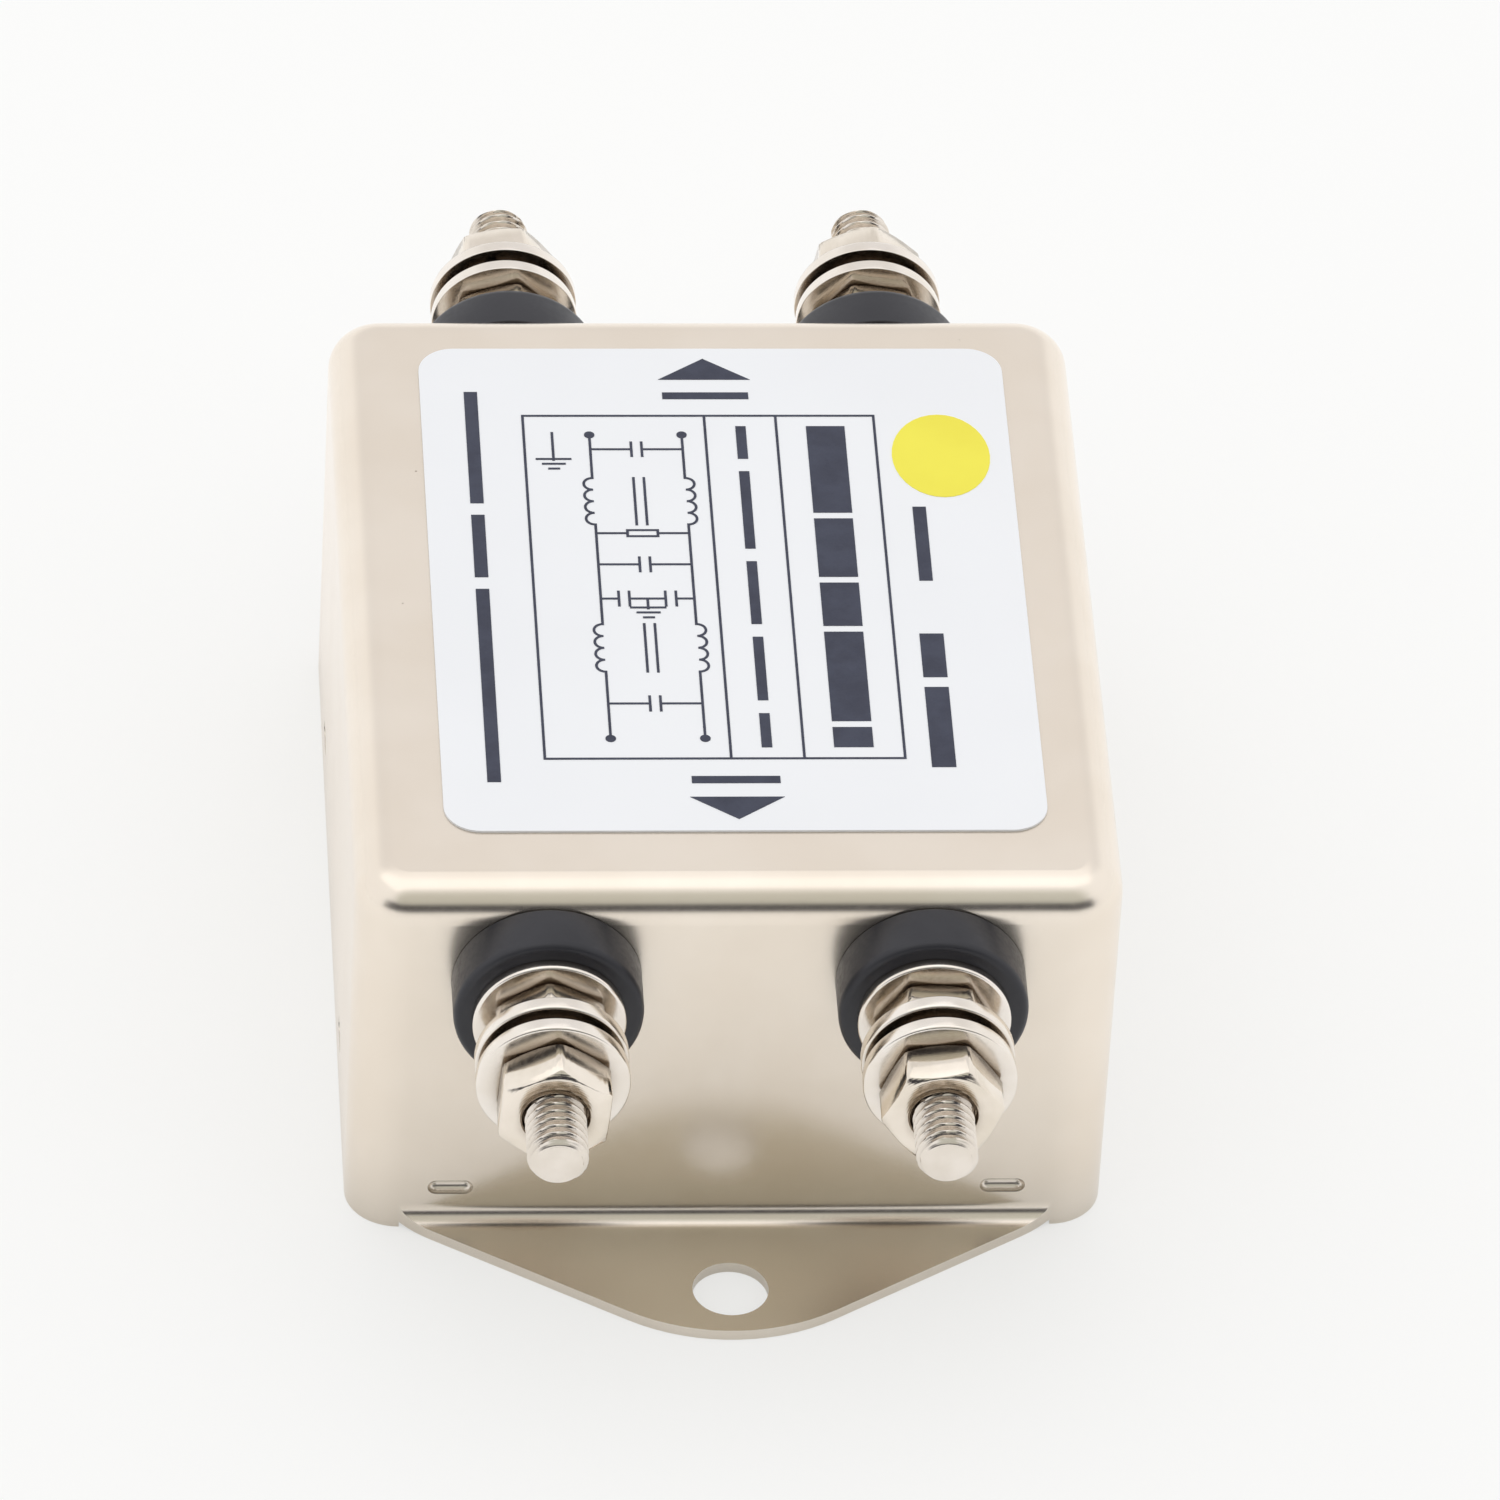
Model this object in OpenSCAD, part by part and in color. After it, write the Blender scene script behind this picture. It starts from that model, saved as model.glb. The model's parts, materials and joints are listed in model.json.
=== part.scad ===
// Two-stage mains line filter in a drawn metal can, with four stud terminals and two mounting ears.
// Frame: origin at the middle of the base, +Z up, load end towards -Y, line end towards +Y.

/* [Can] */
// Width of the can, across the terminals' rows
can_w = 50; // [49.5:0.5:54]
// Length of the can, from the load end to the line end
can_l = 60; // [58.5:0.5:66]
// Height of the can
can_h = 29; // [29:0.5:34]
// Thickness of the can's sheet
sheet = 0.8; // [0.6:0.1:1]
// Radius of the four upright corners, outside
corner_r = 3.5; // [3:0.5:4]
// Radius round the top edge, outside
top_r = 2.5; // [1.5:0.1:2.5]

/* [Ears] */
// How far each mounting ear reaches beyond the end wall
ear_reach = 11; // [11:0.5:14]
// Diameter of the screw hole in each ear
ear_hole_d = 5; // [4:0.1:5.5]
// Distance from the end wall to the middle of the screw hole
ear_hole_out = 7; // [6.5:0.5:7.5]
// Radius of the ear's tip
ear_tip_r = 13; // [9:1:13]
// Inside radius of the bend between wall and ear
bend_r = 1.2; // [0.8:0.1:1.4]

/* [Terminals] */
// Distance between the two studs of an end
terminal_pitch = 25; // [24:0.5:26]
// Depth of the studs' axes below the top of the can
terminal_drop = 7.3; // [7:0.1:8]
// Thread diameter of the studs
stud_d = 4; // [3.9:0.05:4]
// How far a stud reaches beyond the end wall
stud_reach = 17.6; // [16.5:0.1:20]
// Diameter of the insulating bush's flange
bush_d = 12.4; // [11:0.1:13]
// Thickness of the bush's flange
bush_reach = 3.5; // [3:0.1:4]
// Outer diameter of the flat washers
washer_d = 10; // [9:0.1:10.5]
// Width of the nuts across their flats
nut_af = 7; // [6.5:0.1:7]
// Thickness of the locking nut next to the bush
lock_nut_t = 2.8; // [2.2:0.1:3.2]
// Thickness of the outer nut that clamps the cable lug
clamp_nut_t = 3.2; // [2.8:0.1:3.2]

/* [Label] */
// Width of the label
label_w = 39.4; // [36:0.1:42]
// Length of the label
label_l = 49.2; // [46:0.1:51]
// Radius of the label's corners
label_r = 2.4; // [1:0.1:4]
// Sideways offset of the label, which is stuck on by hand
label_dx = 0.6; // [-1:0.1:1]
// Lengthways offset of the label
label_dy = 0.9; // [-1:0.1:1]

/* [Filter parts] */
// Outer diameter of a choke's cased core
core_od = 21; // [20.5:0.1:21]
// Inner diameter of a choke's cased core
core_id = 12.5; // [12.5:0.1:12.8]
// Height of a choke's cased core
core_h = 8; // [7:0.1:8]
// Diameter of the enamelled winding wire
wire_d = 1.5; // [1.2:0.1:1.5]
// Turns in each of a choke's two windings
turns = 7; // [5:1:7]
// Length of an X capacitor
x_cap_l = 18; // [17:0.5:18]
// Width of an X capacitor
x_cap_w = 7; // [5:0.5:7]
// Height of an X capacitor
x_cap_h = 13; // [10:0.5:13]
// Diameter of a Y capacitor's disc
y_cap_d = 7.5; // [6:0.5:7.5]

/* [Hidden] */
$fn = 64;

// Small amounts: a cut runs past its face by cut, and loose pieces stand apart by gap
cut = 0.5;
gap = 0.1;

// The four places of a terminal: [side across X, end along Y]
LOAD_LEFT = [-1, -1];
LOAD_RIGHT = [1, -1];
LINE_LEFT = [-1, 1];
LINE_RIGHT = [1, 1];
PLACES = [LOAD_LEFT, LOAD_RIGHT, LINE_LEFT, LINE_RIGHT];

// Can: the ear's root is as wide as the flat part of the end wall
inner_r = corner_r - sheet;
inside_w = can_w - 2 * sheet;
inside_l = can_l - 2 * sheet;
ear_root = can_w / 2 - corner_r;
bend_out = can_l / 2 + bend_r;
ear_tip_out = can_l / 2 + ear_reach;
ear_arc_out = ear_tip_out - ear_tip_r;

// Retaining dimples, pressed into the walls under the base plate
dimple_z = 3.5;
dimple_len = 3;
dimple_hollow_r = 0.6;
dimple_bump_r = 1.4;
dimple_end_x = 18.2;
dimple_side_y = 15;

// Base plate, which rests on the shoulders of the dimples
base_t = 0.8;
base_z = dimple_z + sqrt(dimple_bump_r ^ 2 - (sheet + gap) ^ 2);
base_w = inside_w - 2 * gap;
base_l = inside_l - 2 * gap;
base_top = base_z + base_t;

// Terminal stack, each distance outwards from the end wall's outer face
axis_z = can_h - terminal_drop;
neck_d = 8.4;
neck_hole_d = neck_d + gap;
ring_d = 2 * (terminal_drop - top_r - gap);
ring_t = 1.5;
neck_len = sheet + ring_t;
strap_t = 0.8;
head_t = 2.4;
plastic_bore_d = stud_d + 0.2;
washer_bore_d = stud_d + 0.3;
bush_washer_t = 0.8;
flat_washer_t = 1;
spring_t = 1;
spring_d = 7;
spring_slot = 0.8;
bush_washer_out = bush_reach;
lock_nut_out = bush_washer_out + bush_washer_t;
lug_washer_out = lock_nut_out + lock_nut_t;
spring_out = lug_washer_out + flat_washer_t;
clamp_washer_out = spring_out + spring_t;
clamp_nut_out = clamp_washer_out + flat_washer_t;
nut_across_corners = nut_af / cos(30);
nut_chamfer = 0.35;
nut_sink = 0.25;
bush_edge = 0.3;
stud_chamfer = 0.45;

// Thread: a nut's bore and the stud inside it meet at the thread's mean diameter
thread_pitch = 0.7;
thread_mean_d = stud_d - 0.65 * thread_pitch;

// How far each nut was turned when it was tightened, in the order of PLACES
LOCK_NUT_TURNS = [2, 27, 12, 41];
CLAMP_NUT_TURNS = [-4, 37, 20, 8];
SPRING_TURNS = [200, 160, 75, 290];

// Label
label_t = 0.15;
ink_t = 0.03;
thin_w = 0.18;
BADGE = [15, 13.3];
badge_w = 6.6;
badge_l = 8.6;

// Print on the label, each place measured from the label's middle
FRAME_X = [-12.9, -0.7, 4.1, 10.7];
frame_end = 17.5;
RAILS = [-8.5, -2.3];
rail_end = 15.5;
COIL_Y = [8.6, -6.4];
coil_turn_r = 0.6;
X_MARK_Y = [14, 2.1, -12];
Y_MARK_Y = -1.4;
RESISTOR_MARK_Y = 5.3;
EARTH_MARK = [-11, 12.9];
plate_gap = 0.7;
arrow_x = -0.5;
arrow_out = 21.3;
arrow_w = 6.2;
arrow_l = 2.2;
end_bar_out = 19.6;
END_BAR = [5.8, 0.7];

// Columns of plain bars, each as [x, width, top, lengths, space between bars]
BAR_COLUMNS = [
    [7.4, 2.6, 16.4, [9, 6, 4.4, 9, 2], 0.6],
    [1.7, 0.7, 16.4, [3.4, 8, 6.4, 6.4, 3.4], 1.3],
    [13.2, 0.9, 8, [7.6], 0],
    [13.2, 1.6, -5, [4.4, 8], 1],
    [-16.3, 0.9, 20, [11.6, 6.4, 19.4], 1.2]
];

// Insulating tray and circuit board
tray_t = 0.3;
tray_top = 14;
tray_room = 1;
spacer_h = 2.3;
spacer_d = 5;
spacer_in = 3.5;
board_room = 1.5;
board_t = 1.6;
board_w = can_w - 2 * board_room;
board_l = can_l - 2 * board_room;
board_r = 2;
board_z = base_top + tray_t + spacer_h;
board_top = board_z + board_t;
tail_end_z = board_z - 0.8;
solder_h = 0.6;
solder_rim = 0.5;
lead_room = 0.3;

// Straps from the studs down to the board
strap_w = 6;
strap_d = 8;
tail_w = 4;
strap_y = can_l / 2 - neck_len - strap_t / 2;

// Chokes
choke_y = 14;
core_mid_r = (core_od + core_id) / 4;
core_edge = 0.8;
wire_gap = 0.25;
loop_w = (core_od - core_id) / 4 + wire_d / 2 + wire_gap;
loop_h = core_h / 2 + wire_d / 2 + wire_gap;
choke_lift = 0.3;
choke_z = board_top + choke_lift + loop_h + wire_d / 2;
winding_span = 140;
wire_sides = 8;
steps_per_turn = 12;
lead_r = core_mid_r + loop_w;
divider_t = 0.8;
divider_foot_l = core_od - 2;

// Capacitors and resistor
x_cap_x = 17.5;
x_cap_y = 14;
x_lead_pitch = 15;
x_lead_d = 0.8;
y_cap_x = 8.5;
y_cap_t = 3.2;
y_cap_lift = 1.2;
y_lead_pitch = 5;
small_lead_d = 0.6;
resistor_x = 18;
resistor_len = 6.5;
resistor_d = 2.6;
resistor_span = 9.4;
resistor_z = board_top + 1.6;
X_CAPS = [[x_cap_x, -x_cap_y], [-x_cap_x, 0], [x_cap_x, x_cap_y]];

// Ground strap from the board to the base plate
ground_x = -17.5;
ground_y = -15;
ground_w = 5;
ground_t = 0.6;
ground_foot = 7;
ground_above = 1;
rivet_d = 2.4;
rivet_head_d = 4.2;
rivet_head_t = 0.5;
ground_foot_y = ground_y + (ground_t - ground_foot) / 2;
rivet_y = ground_foot_y - 1;

// ---------------------------------------------------------------- shared shapes

// Flat block with rounded upright corners, standing on z = 0
module rounded_block(w, l, h, r) {
    translate([-w / 2, -l / 2 + r, 0]) cube([w, l - 2 * r, h]);
    translate([-w / 2 + r, -l / 2, 0]) cube([w - 2 * r, l, h]);
    for (x = [-1, 1], y = [-1, 1])
        translate([x * (w / 2 - r), y * (l / 2 - r), 0]) cylinder(r = r, h = h);
}

// Section of a block whose two top edges are rounded by e
module soft_top_section(w, h, e) {
    translate([-w / 2, 0]) square([w, h - e]);
    translate([-w / 2 + e, 0]) square([w - 2 * e, h]);
    for (x = [-1, 1]) translate([x * (w / 2 - e), h - e]) circle(e);
}

// Half section of a round post of radius r whose top edge is rounded by e
module soft_top_corner(r, h, e) {
    square([r, h - e]);
    square([r - e, h]);
    intersection() {
        translate([r - e, h - e]) circle(e);
        square([r, h]);
    }
}

// Block with upright corners of radius r and a top edge of radius e all round
module soft_block(w, l, h, r, e) {
    rotate([90, 0, 0]) linear_extrude(l - 2 * r, center = true) soft_top_section(w, h, e);
    rotate([90, 0, 90]) linear_extrude(w - 2 * r, center = true) soft_top_section(l, h, e);
    for (x = [-1, 1], y = [-1, 1])
        translate([x * (w / 2 - r), y * (l / 2 - r), 0]) rotate_extrude() soft_top_corner(r, h, e);
}

// Puts its children at a terminal: +Z points outwards from the end wall, +Y stays up
module at_terminal(place) {
    translate([place.x * terminal_pitch / 2, place.y * can_l / 2, axis_z])
        rotate([90, 0, place.y < 0 ? 0 : 180]) children();
}

// Flat ring that lies on z = 0
module ring(od, id, t) {
    difference() {
        cylinder(d = od, h = t);
        translate([0, 0, -cut]) cylinder(d = id, h = t + 2 * cut);
    }
}

// Disc whose two edges are bevelled, used to turn the corners off nuts and heads
module bevelled_disc(d, t, bevel) {
    rotate_extrude() polygon([
        [0, 0], [d / 2 - bevel, 0], [d / 2, bevel],
        [d / 2, t - bevel], [d / 2 - bevel, t], [0, t]
    ]);
}

// Hexagon nut with turned-off corners and a countersunk bore
module hex_nut(t) {
    sink_d = stud_d + 2 * nut_sink;
    sink_h = (sink_d - thread_mean_d) / 2;
    difference() {
        intersection() {
            cylinder(d = nut_across_corners, h = t, $fn = 6);
            bevelled_disc(nut_across_corners, t, nut_chamfer);
        }
        translate([0, 0, -cut]) cylinder(d = thread_mean_d, h = t + 2 * cut);
        translate([0, 0, t - sink_h]) cylinder(d1 = thread_mean_d, d2 = sink_d, h = sink_h);
        cylinder(d1 = sink_d, d2 = thread_mean_d, h = sink_h);
    }
}

// ---------------------------------------------------------------- round wire along a path

function unit(v) = v / norm(v);

// Direction of the path at point i
function heading(path, i) =
    unit(path[min(i + 1, len(path) - 1)] - path[max(i - 1, 0)]);

// One ring of the wire round path point i, squared up to the sideways direction side
function wire_ring(path, side, i, r) =
    let (t = heading(path, i), u = unit(cross(t, side)), v = cross(t, u))
    [for (k = [0:wire_sides - 1])
        path[i] + r * (u * cos(360 * k / wire_sides) + v * sin(360 * k / wire_sides))];

// Solid wire of radius r along path, where sides holds one sideways direction for each point
module wire(path, sides, r) {
    n = len(path);
    points = [for (i = [0:n - 1]) each wire_ring(path, sides[i], i, r)];
    skin = [for (i = [0:n - 2], k = [0:wire_sides - 1])
        let (a = i * wire_sides + k, b = i * wire_sides + (k + 1) % wire_sides)
        [a, a + wire_sides, b + wire_sides, b]];
    start_cap = [for (k = [0:wire_sides - 1]) k];
    end_cap = [for (k = [0:wire_sides - 1]) n * wire_sides - 1 - k];
    polyhedron(points, concat(skin, [start_cap, end_cap]));
}

// ---------------------------------------------------------------- can, base plate and label

// Plan of the load end's ear, as wide as its root in the wall and narrowing from the wall outwards
module ear_outline() {
    dx = ear_root;
    dy = can_l / 2 - ear_arc_out;
    tangent = atan2(dy, dx) + acos(ear_tip_r / norm([dx, dy]));
    tip_x = ear_tip_r * cos(tangent);
    tip_y = -ear_arc_out - ear_tip_r * sin(tangent);
    translate([-dx, -can_l / 2]) square([2 * dx, sheet + cut]);
    polygon([[-dx, -can_l / 2], [dx, -can_l / 2], [tip_x, tip_y], [-tip_x, tip_y]]);
    intersection() {
        translate([0, -ear_arc_out]) circle(ear_tip_r);
        translate([-ear_tip_r, -ear_tip_out - cut]) square([2 * ear_tip_r, ear_reach + cut]);
    }
}

// Section of the ear's sheet along the can: the bend out of the wall, then the flat
module ear_section() {
    translate([-bend_out, sheet + bend_r]) difference() {
        intersection() {
            circle(bend_r + sheet);
            translate([0, -bend_r - sheet]) square(bend_r + sheet);
        }
        circle(bend_r);
    }
    translate([-ear_tip_out - cut, 0]) square([ear_reach - bend_r + cut, sheet]);
}

// Ear of the load end with its bend, as far as the wall
module ear() {
    difference() {
        intersection() {
            translate([0, 0, -cut]) linear_extrude(sheet + bend_r + 2 * cut) ear_outline();
            rotate([90, 0, 90]) linear_extrude(2 * ear_root + 2 * cut, center = true) ear_section();
        }
        translate([0, -can_l / 2 - ear_hole_out, -cut]) cylinder(d = ear_hole_d, h = sheet + 2 * cut);
    }
}

// Places a dimple's children at the eight retaining points, with X along the wall and +Y outwards
module at_dimples() {
    for (end = [0, 180], x = [-1, 1])
        rotate(end) translate([x * dimple_end_x, can_l / 2, dimple_z]) children();
    for (side = [90, 270], y = [-1, 1])
        rotate(side) translate([y * dimple_side_y, can_w / 2, dimple_z]) children();
}

// Level bar with round ends
module dimple_bar(r, len) {
    straight = len - 2 * r;
    rotate([0, 90, 0]) cylinder(r = r, h = straight, center = true);
    for (end = [-1, 1]) translate([end * straight / 2, 0, 0]) sphere(r);
}

// Drawn can with its two ears, four terminal holes and eight retaining dimples
module can_shell() {
    color("#d3cabc")
    difference() {
        union() {
            difference() {
                soft_block(can_w, can_l, can_h, corner_r, top_r);
                translate([0, 0, -cut])
                    soft_block(inside_w, inside_l, can_h - sheet + cut, inner_r, top_r - sheet);
                for (end = [-1, 1])
                    translate([-ear_root, end * (can_l - sheet) / 2 - sheet, -cut])
                        cube([2 * ear_root, 2 * sheet, cut + sheet + bend_r]);
            }
            for (end = [0, 180]) rotate(end) ear();
            at_dimples() intersection() {
                dimple_bar(dimple_bump_r, dimple_len + 2 * sheet);
                translate([-dimple_len, -2 * dimple_bump_r, -2 * dimple_bump_r])
                    cube([2 * dimple_len, 2 * dimple_bump_r - sheet / 2, 4 * dimple_bump_r]);
            }
        }
        at_dimples() dimple_bar(dimple_hollow_r, dimple_len);
        for (place = PLACES)
            at_terminal(place) translate([0, 0, -sheet - cut]) cylinder(d = neck_hole_d, h = sheet + 2 * cut);
    }
}

module base_plate() {
    color("#c9c3b8")
    difference() {
        translate([0, 0, base_z]) rounded_block(base_w, base_l, base_t, inner_r - gap);
        translate([ground_x, rivet_y, base_z - cut]) cylinder(d = rivet_d, h = base_t + 2 * cut);
    }
}

module label() {
    color("#eff1f4")
    translate([label_dx, label_dy, can_h]) rounded_block(label_w, label_l, label_t, label_r);
}

// Bar of ink from point a to point b
module stroke(a, b, w) {
    length = norm(b - a);
    translate(a) rotate(atan2(b.y - a.y, b.x - a.x)) translate([-w / 2, -w / 2]) square([length + w, w]);
}

// Half ring that bulges towards +X, for one turn of a drawn coil
module half_turn(r, w) {
    intersection() {
        difference() {
            circle(r + w / 2, $fn = 32);
            circle(r - w / 2, $fn = 32);
        }
        translate([0, -r - w]) square([r + w, 2 * (r + w)]);
    }
}

// Upright coil of four turns, centred on its place, which bulges towards +X
module coil_mark() {
    for (k = [-1.5, -0.5, 0.5, 1.5])
        translate([0, 2 * coil_turn_r * k]) half_turn(coil_turn_r, thin_w);
}

// Two capacitor plates across a level lead
module plates_mark() {
    plate_l = 1.6;
    for (x = [-1, 1]) translate([x * plate_gap / 2 - thin_w / 2, -plate_l / 2]) square([thin_w, plate_l]);
}

// Three bars of shrinking length, the usual mark for earth
module earth_mark() {
    longest = 2.4;
    drop = 0.5;
    for (k = [0:2]) {
        bar = longest * (3 - k) / 3;
        translate([-bar / 2, -drop * k]) square([bar, thin_w]);
    }
}

// Level lead between two places at height y, broken by a space in the middle
module bridge_mark(left, right, y, space) {
    middle = (left + right) / 2;
    stroke([left, y], [middle - space / 2, y], thin_w);
    stroke([middle + space / 2, y], [right, y], thin_w);
}

// Outlined box with a bare middle, the mark for a resistor
module resistor_mark() {
    difference() {
        square([2.2, 0.8], center = true);
        square([2.2 - 2 * thin_w, 0.8 - 2 * thin_w], center = true);
    }
}

// Frame with two upright dividing lines
module frame_print() {
    for (y = [-1, 1]) stroke([FRAME_X[0], y * frame_end], [FRAME_X[3], y * frame_end], thin_w);
    for (x = FRAME_X) stroke([x, -frame_end], [x, frame_end], thin_w);
}

// The filter's two stages, drawn with plain circuit marks between two rails
module circuit_print() {
    left = RAILS[0];
    right = RAILS[1];
    middle = (left + right) / 2;
    coil_half = 4 * coil_turn_r;
    for (x = RAILS) {
        stroke([x, rail_end], [x, COIL_Y[0] + coil_half], thin_w);
        stroke([x, COIL_Y[0] - coil_half], [x, COIL_Y[1] + coil_half], thin_w);
        stroke([x, COIL_Y[1] - coil_half], [x, -rail_end], thin_w);
        for (y = [-rail_end, rail_end]) translate([x, y]) circle(0.35, $fn = 24);
    }
    for (y = COIL_Y) {
        translate([left, y]) mirror([1, 0]) coil_mark();
        translate([right, y]) coil_mark();
        for (x = [-1, 1] * plate_gap / 2)
            stroke([middle + x, y - coil_half], [middle + x, y + coil_half], thin_w);
    }
    for (y = X_MARK_Y) {
        bridge_mark(left, right, y, plate_gap);
        translate([middle, y]) plates_mark();
    }
    for (half = [[left, middle], [middle, right]]) {
        bridge_mark(half[0], half[1], Y_MARK_Y, plate_gap);
        translate([(half[0] + half[1]) / 2, Y_MARK_Y]) plates_mark();
    }
    stroke([middle, Y_MARK_Y], [middle, Y_MARK_Y - 1], thin_w);
    translate([middle, Y_MARK_Y - 1]) earth_mark();
    bridge_mark(left, right, RESISTOR_MARK_Y, 2.2);
    translate([middle, RESISTOR_MARK_Y]) resistor_mark();
    translate(EARTH_MARK) earth_mark();
    stroke(EARTH_MARK, EARTH_MARK + [0, 2.8], thin_w);
}

// Row of plain bars down a column, where printed data would stand
module bar_column(x, w, top, lengths, space) {
    for (k = [0:len(lengths) - 1]) {
        before = [for (i = [0:1:k - 1]) lengths[i] + space];
        done = len(before) == 0 ? 0 : before * [for (b = before) 1];
        translate([x - w / 2, top - done - lengths[k]]) square([w, lengths[k]]);
    }
}

// Arrow head that points to the line end
module arrow_mark() {
    polygon([[-arrow_w / 2, 0], [arrow_w / 2, 0], [0, arrow_l]]);
}

module label_ink() {
    color("#23283a")
    translate([label_dx, label_dy, can_h + label_t]) linear_extrude(ink_t) {
        frame_print();
        circuit_print();
        translate([arrow_x, arrow_out]) arrow_mark();
        translate([arrow_x, -arrow_out]) rotate(180) arrow_mark();
        for (y = [-1, 1]) translate([arrow_x, y * end_bar_out]) square(END_BAR, center = true);
        for (c = BAR_COLUMNS) bar_column(c[0], c[1], c[2], c[3], c[4]);
    }
}

module label_badge() {
    color("#f2e84a")
    translate([label_dx + BADGE.x, label_dy + BADGE.y, can_h + label_t])
        linear_extrude(ink_t) polygon([for (a = [0:10:350]) [badge_w / 2 * cos(a), badge_l / 2 * sin(a)]]);
}

// ---------------------------------------------------------------- terminals

// Insulating bush: an outer flange and a neck that passes through the wall
module bush(place) {
    color("#26262a")
    at_terminal(place) difference() {
        union() {
            rotate_extrude() polygon([
                [0, 0], [bush_d / 2, 0], [bush_d / 2, bush_reach - bush_edge],
                [bush_d / 2 - bush_edge, bush_reach], [0, bush_reach]
            ]);
            translate([0, 0, -neck_len]) cylinder(d = neck_d, h = neck_len + cut);
        }
        translate([0, 0, -neck_len - cut]) cylinder(d = plastic_bore_d, h = neck_len + bush_reach + 2 * cut);
    }
}

// Insulating ring round the bush's neck, on the inside of the wall
module inner_ring(place) {
    color("#33333a")
    at_terminal(place) translate([0, 0, -neck_len]) ring(ring_d, neck_hole_d, ring_t);
}

// Outline of a stud at one nut: it steps in to the thread's mean diameter over the nut's thickness
function stud_under_nut(out, t) = [
    [stud_d / 2, out], [thread_mean_d / 2, out], [thread_mean_d / 2, out + t], [stud_d / 2, out + t]
];

// Threaded stud with its hexagon head inside the can
module stud(place) {
    head_out = -neck_len - strap_t - head_t;
    color("#c8c2b6")
    at_terminal(place) {
        translate([0, 0, head_out]) cylinder(d = nut_across_corners, h = head_t, $fn = 6);
        rotate_extrude() polygon(concat(
            [[0, head_out + cut], [stud_d / 2, head_out + cut]],
            stud_under_nut(lock_nut_out, lock_nut_t),
            stud_under_nut(clamp_nut_out, clamp_nut_t),
            [[stud_d / 2, stud_reach - stud_chamfer]],
            [[stud_d / 2 - stud_chamfer, stud_reach], [0, stud_reach]]
        ));
    }
}

// Tinned strap under the stud's head, with a tail that is soldered into the board
module strap(place) {
    color("#c9b58a")
    difference() {
        union() {
            at_terminal(place) translate([0, 0, -neck_len - strap_t]) cylinder(d = strap_d, h = strap_t);
            translate([place.x * terminal_pitch / 2, place.y * strap_y, 0]) {
                translate([-strap_w / 2, -strap_t / 2, board_top])
                    cube([strap_w, strap_t, axis_z - board_top]);
                translate([-tail_w / 2, -strap_t / 2, tail_end_z])
                    cube([tail_w, strap_t, board_top - tail_end_z + cut]);
            }
        }
        at_terminal(place) translate([0, 0, -neck_len - strap_t - cut])
            cylinder(d = plastic_bore_d, h = strap_t + 2 * cut);
    }
}

module bush_washers() {
    color("#d0cabd")
    for (place = PLACES)
        at_terminal(place) translate([0, 0, bush_washer_out]) ring(washer_d, washer_bore_d, bush_washer_t);
}

module lock_nuts() {
    color("#ccc6b9")
    for (k = [0:3])
        at_terminal(PLACES[k]) translate([0, 0, lock_nut_out])
            rotate(90 + LOCK_NUT_TURNS[k]) hex_nut(lock_nut_t);
}

module lug_washers() {
    color("#d0cabd")
    for (place = PLACES)
        at_terminal(place) translate([0, 0, lug_washer_out]) ring(washer_d, washer_bore_d, flat_washer_t);
}

module spring_washers() {
    color("#8d8880")
    for (k = [0:3])
        at_terminal(PLACES[k]) translate([0, 0, spring_out]) rotate(SPRING_TURNS[k]) difference() {
            ring(spring_d, washer_bore_d, spring_t);
            translate([0, -spring_slot / 2, -cut]) cube([spring_d, spring_slot, spring_t + 2 * cut]);
        }
}

module clamp_washers() {
    color("#d0cabd")
    for (place = PLACES)
        at_terminal(place) translate([0, 0, clamp_washer_out]) ring(washer_d, washer_bore_d, flat_washer_t);
}

module clamp_nuts() {
    color("#d6d0c4")
    for (k = [0:3])
        at_terminal(PLACES[k]) translate([0, 0, clamp_nut_out])
            rotate(90 + CLAMP_NUT_TURNS[k]) hex_nut(clamp_nut_t);
}

// ---------------------------------------------------------------- inside the can

// Tray of insulating film between the metal and the board, open where the ground strap passes
module insulating_tray() {
    window = [ground_w + 2 * tray_room, ground_foot + 2 * tray_room, tray_t + 2 * cut];
    color("#d9d2b0")
    difference() {
        translate([0, 0, base_top]) rounded_block(base_w, base_l, tray_top - base_top, inner_r - gap);
        translate([0, 0, base_top + tray_t])
            rounded_block(base_w - 2 * tray_t, base_l - 2 * tray_t, tray_top, inner_r - gap - tray_t);
        translate([ground_x - window.x / 2, ground_foot_y - window.y / 2, base_top - cut]) cube(window);
    }
}

module board_spacers() {
    color("#e8e6de")
    for (x = [-1, 1], y = [-1, 1])
        translate([x * (board_w / 2 - spacer_in), y * (board_l / 2 - spacer_in), base_top + tray_t])
            cylinder(d = spacer_d, h = spacer_h);
}

// Angles at which a winding's two leads stand round the choke's axis
function winding_lead_angles(side) =
    let (first = (side > 0 ? 0 : 180) - winding_span / 2)
    [first, first + winding_span * (turns - 1 / 6) / turns];

// Places of everything that is soldered into the board: thick, medium and thin leads, then flat tails
function winding_leads() = [
    for (end = [-1, 1], side = [-1, 1]) for (a = winding_lead_angles(side))
        [lead_r * cos(a), end * choke_y + lead_r * sin(a)]
];
function x_leads() = [for (at = X_CAPS, y = [-1, 1]) at + [0, y * x_lead_pitch / 2]];
function small_leads() = [
    for (side = [-1, 1], x = [-1, 1]) [side * y_cap_x + x * y_lead_pitch / 2, 0],
    for (x = [-1, 1]) [resistor_x + x * resistor_span / 2, 0]
];
function strap_tails() = [for (place = PLACES) [place.x * terminal_pitch / 2, place.y * strap_y]];

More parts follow.
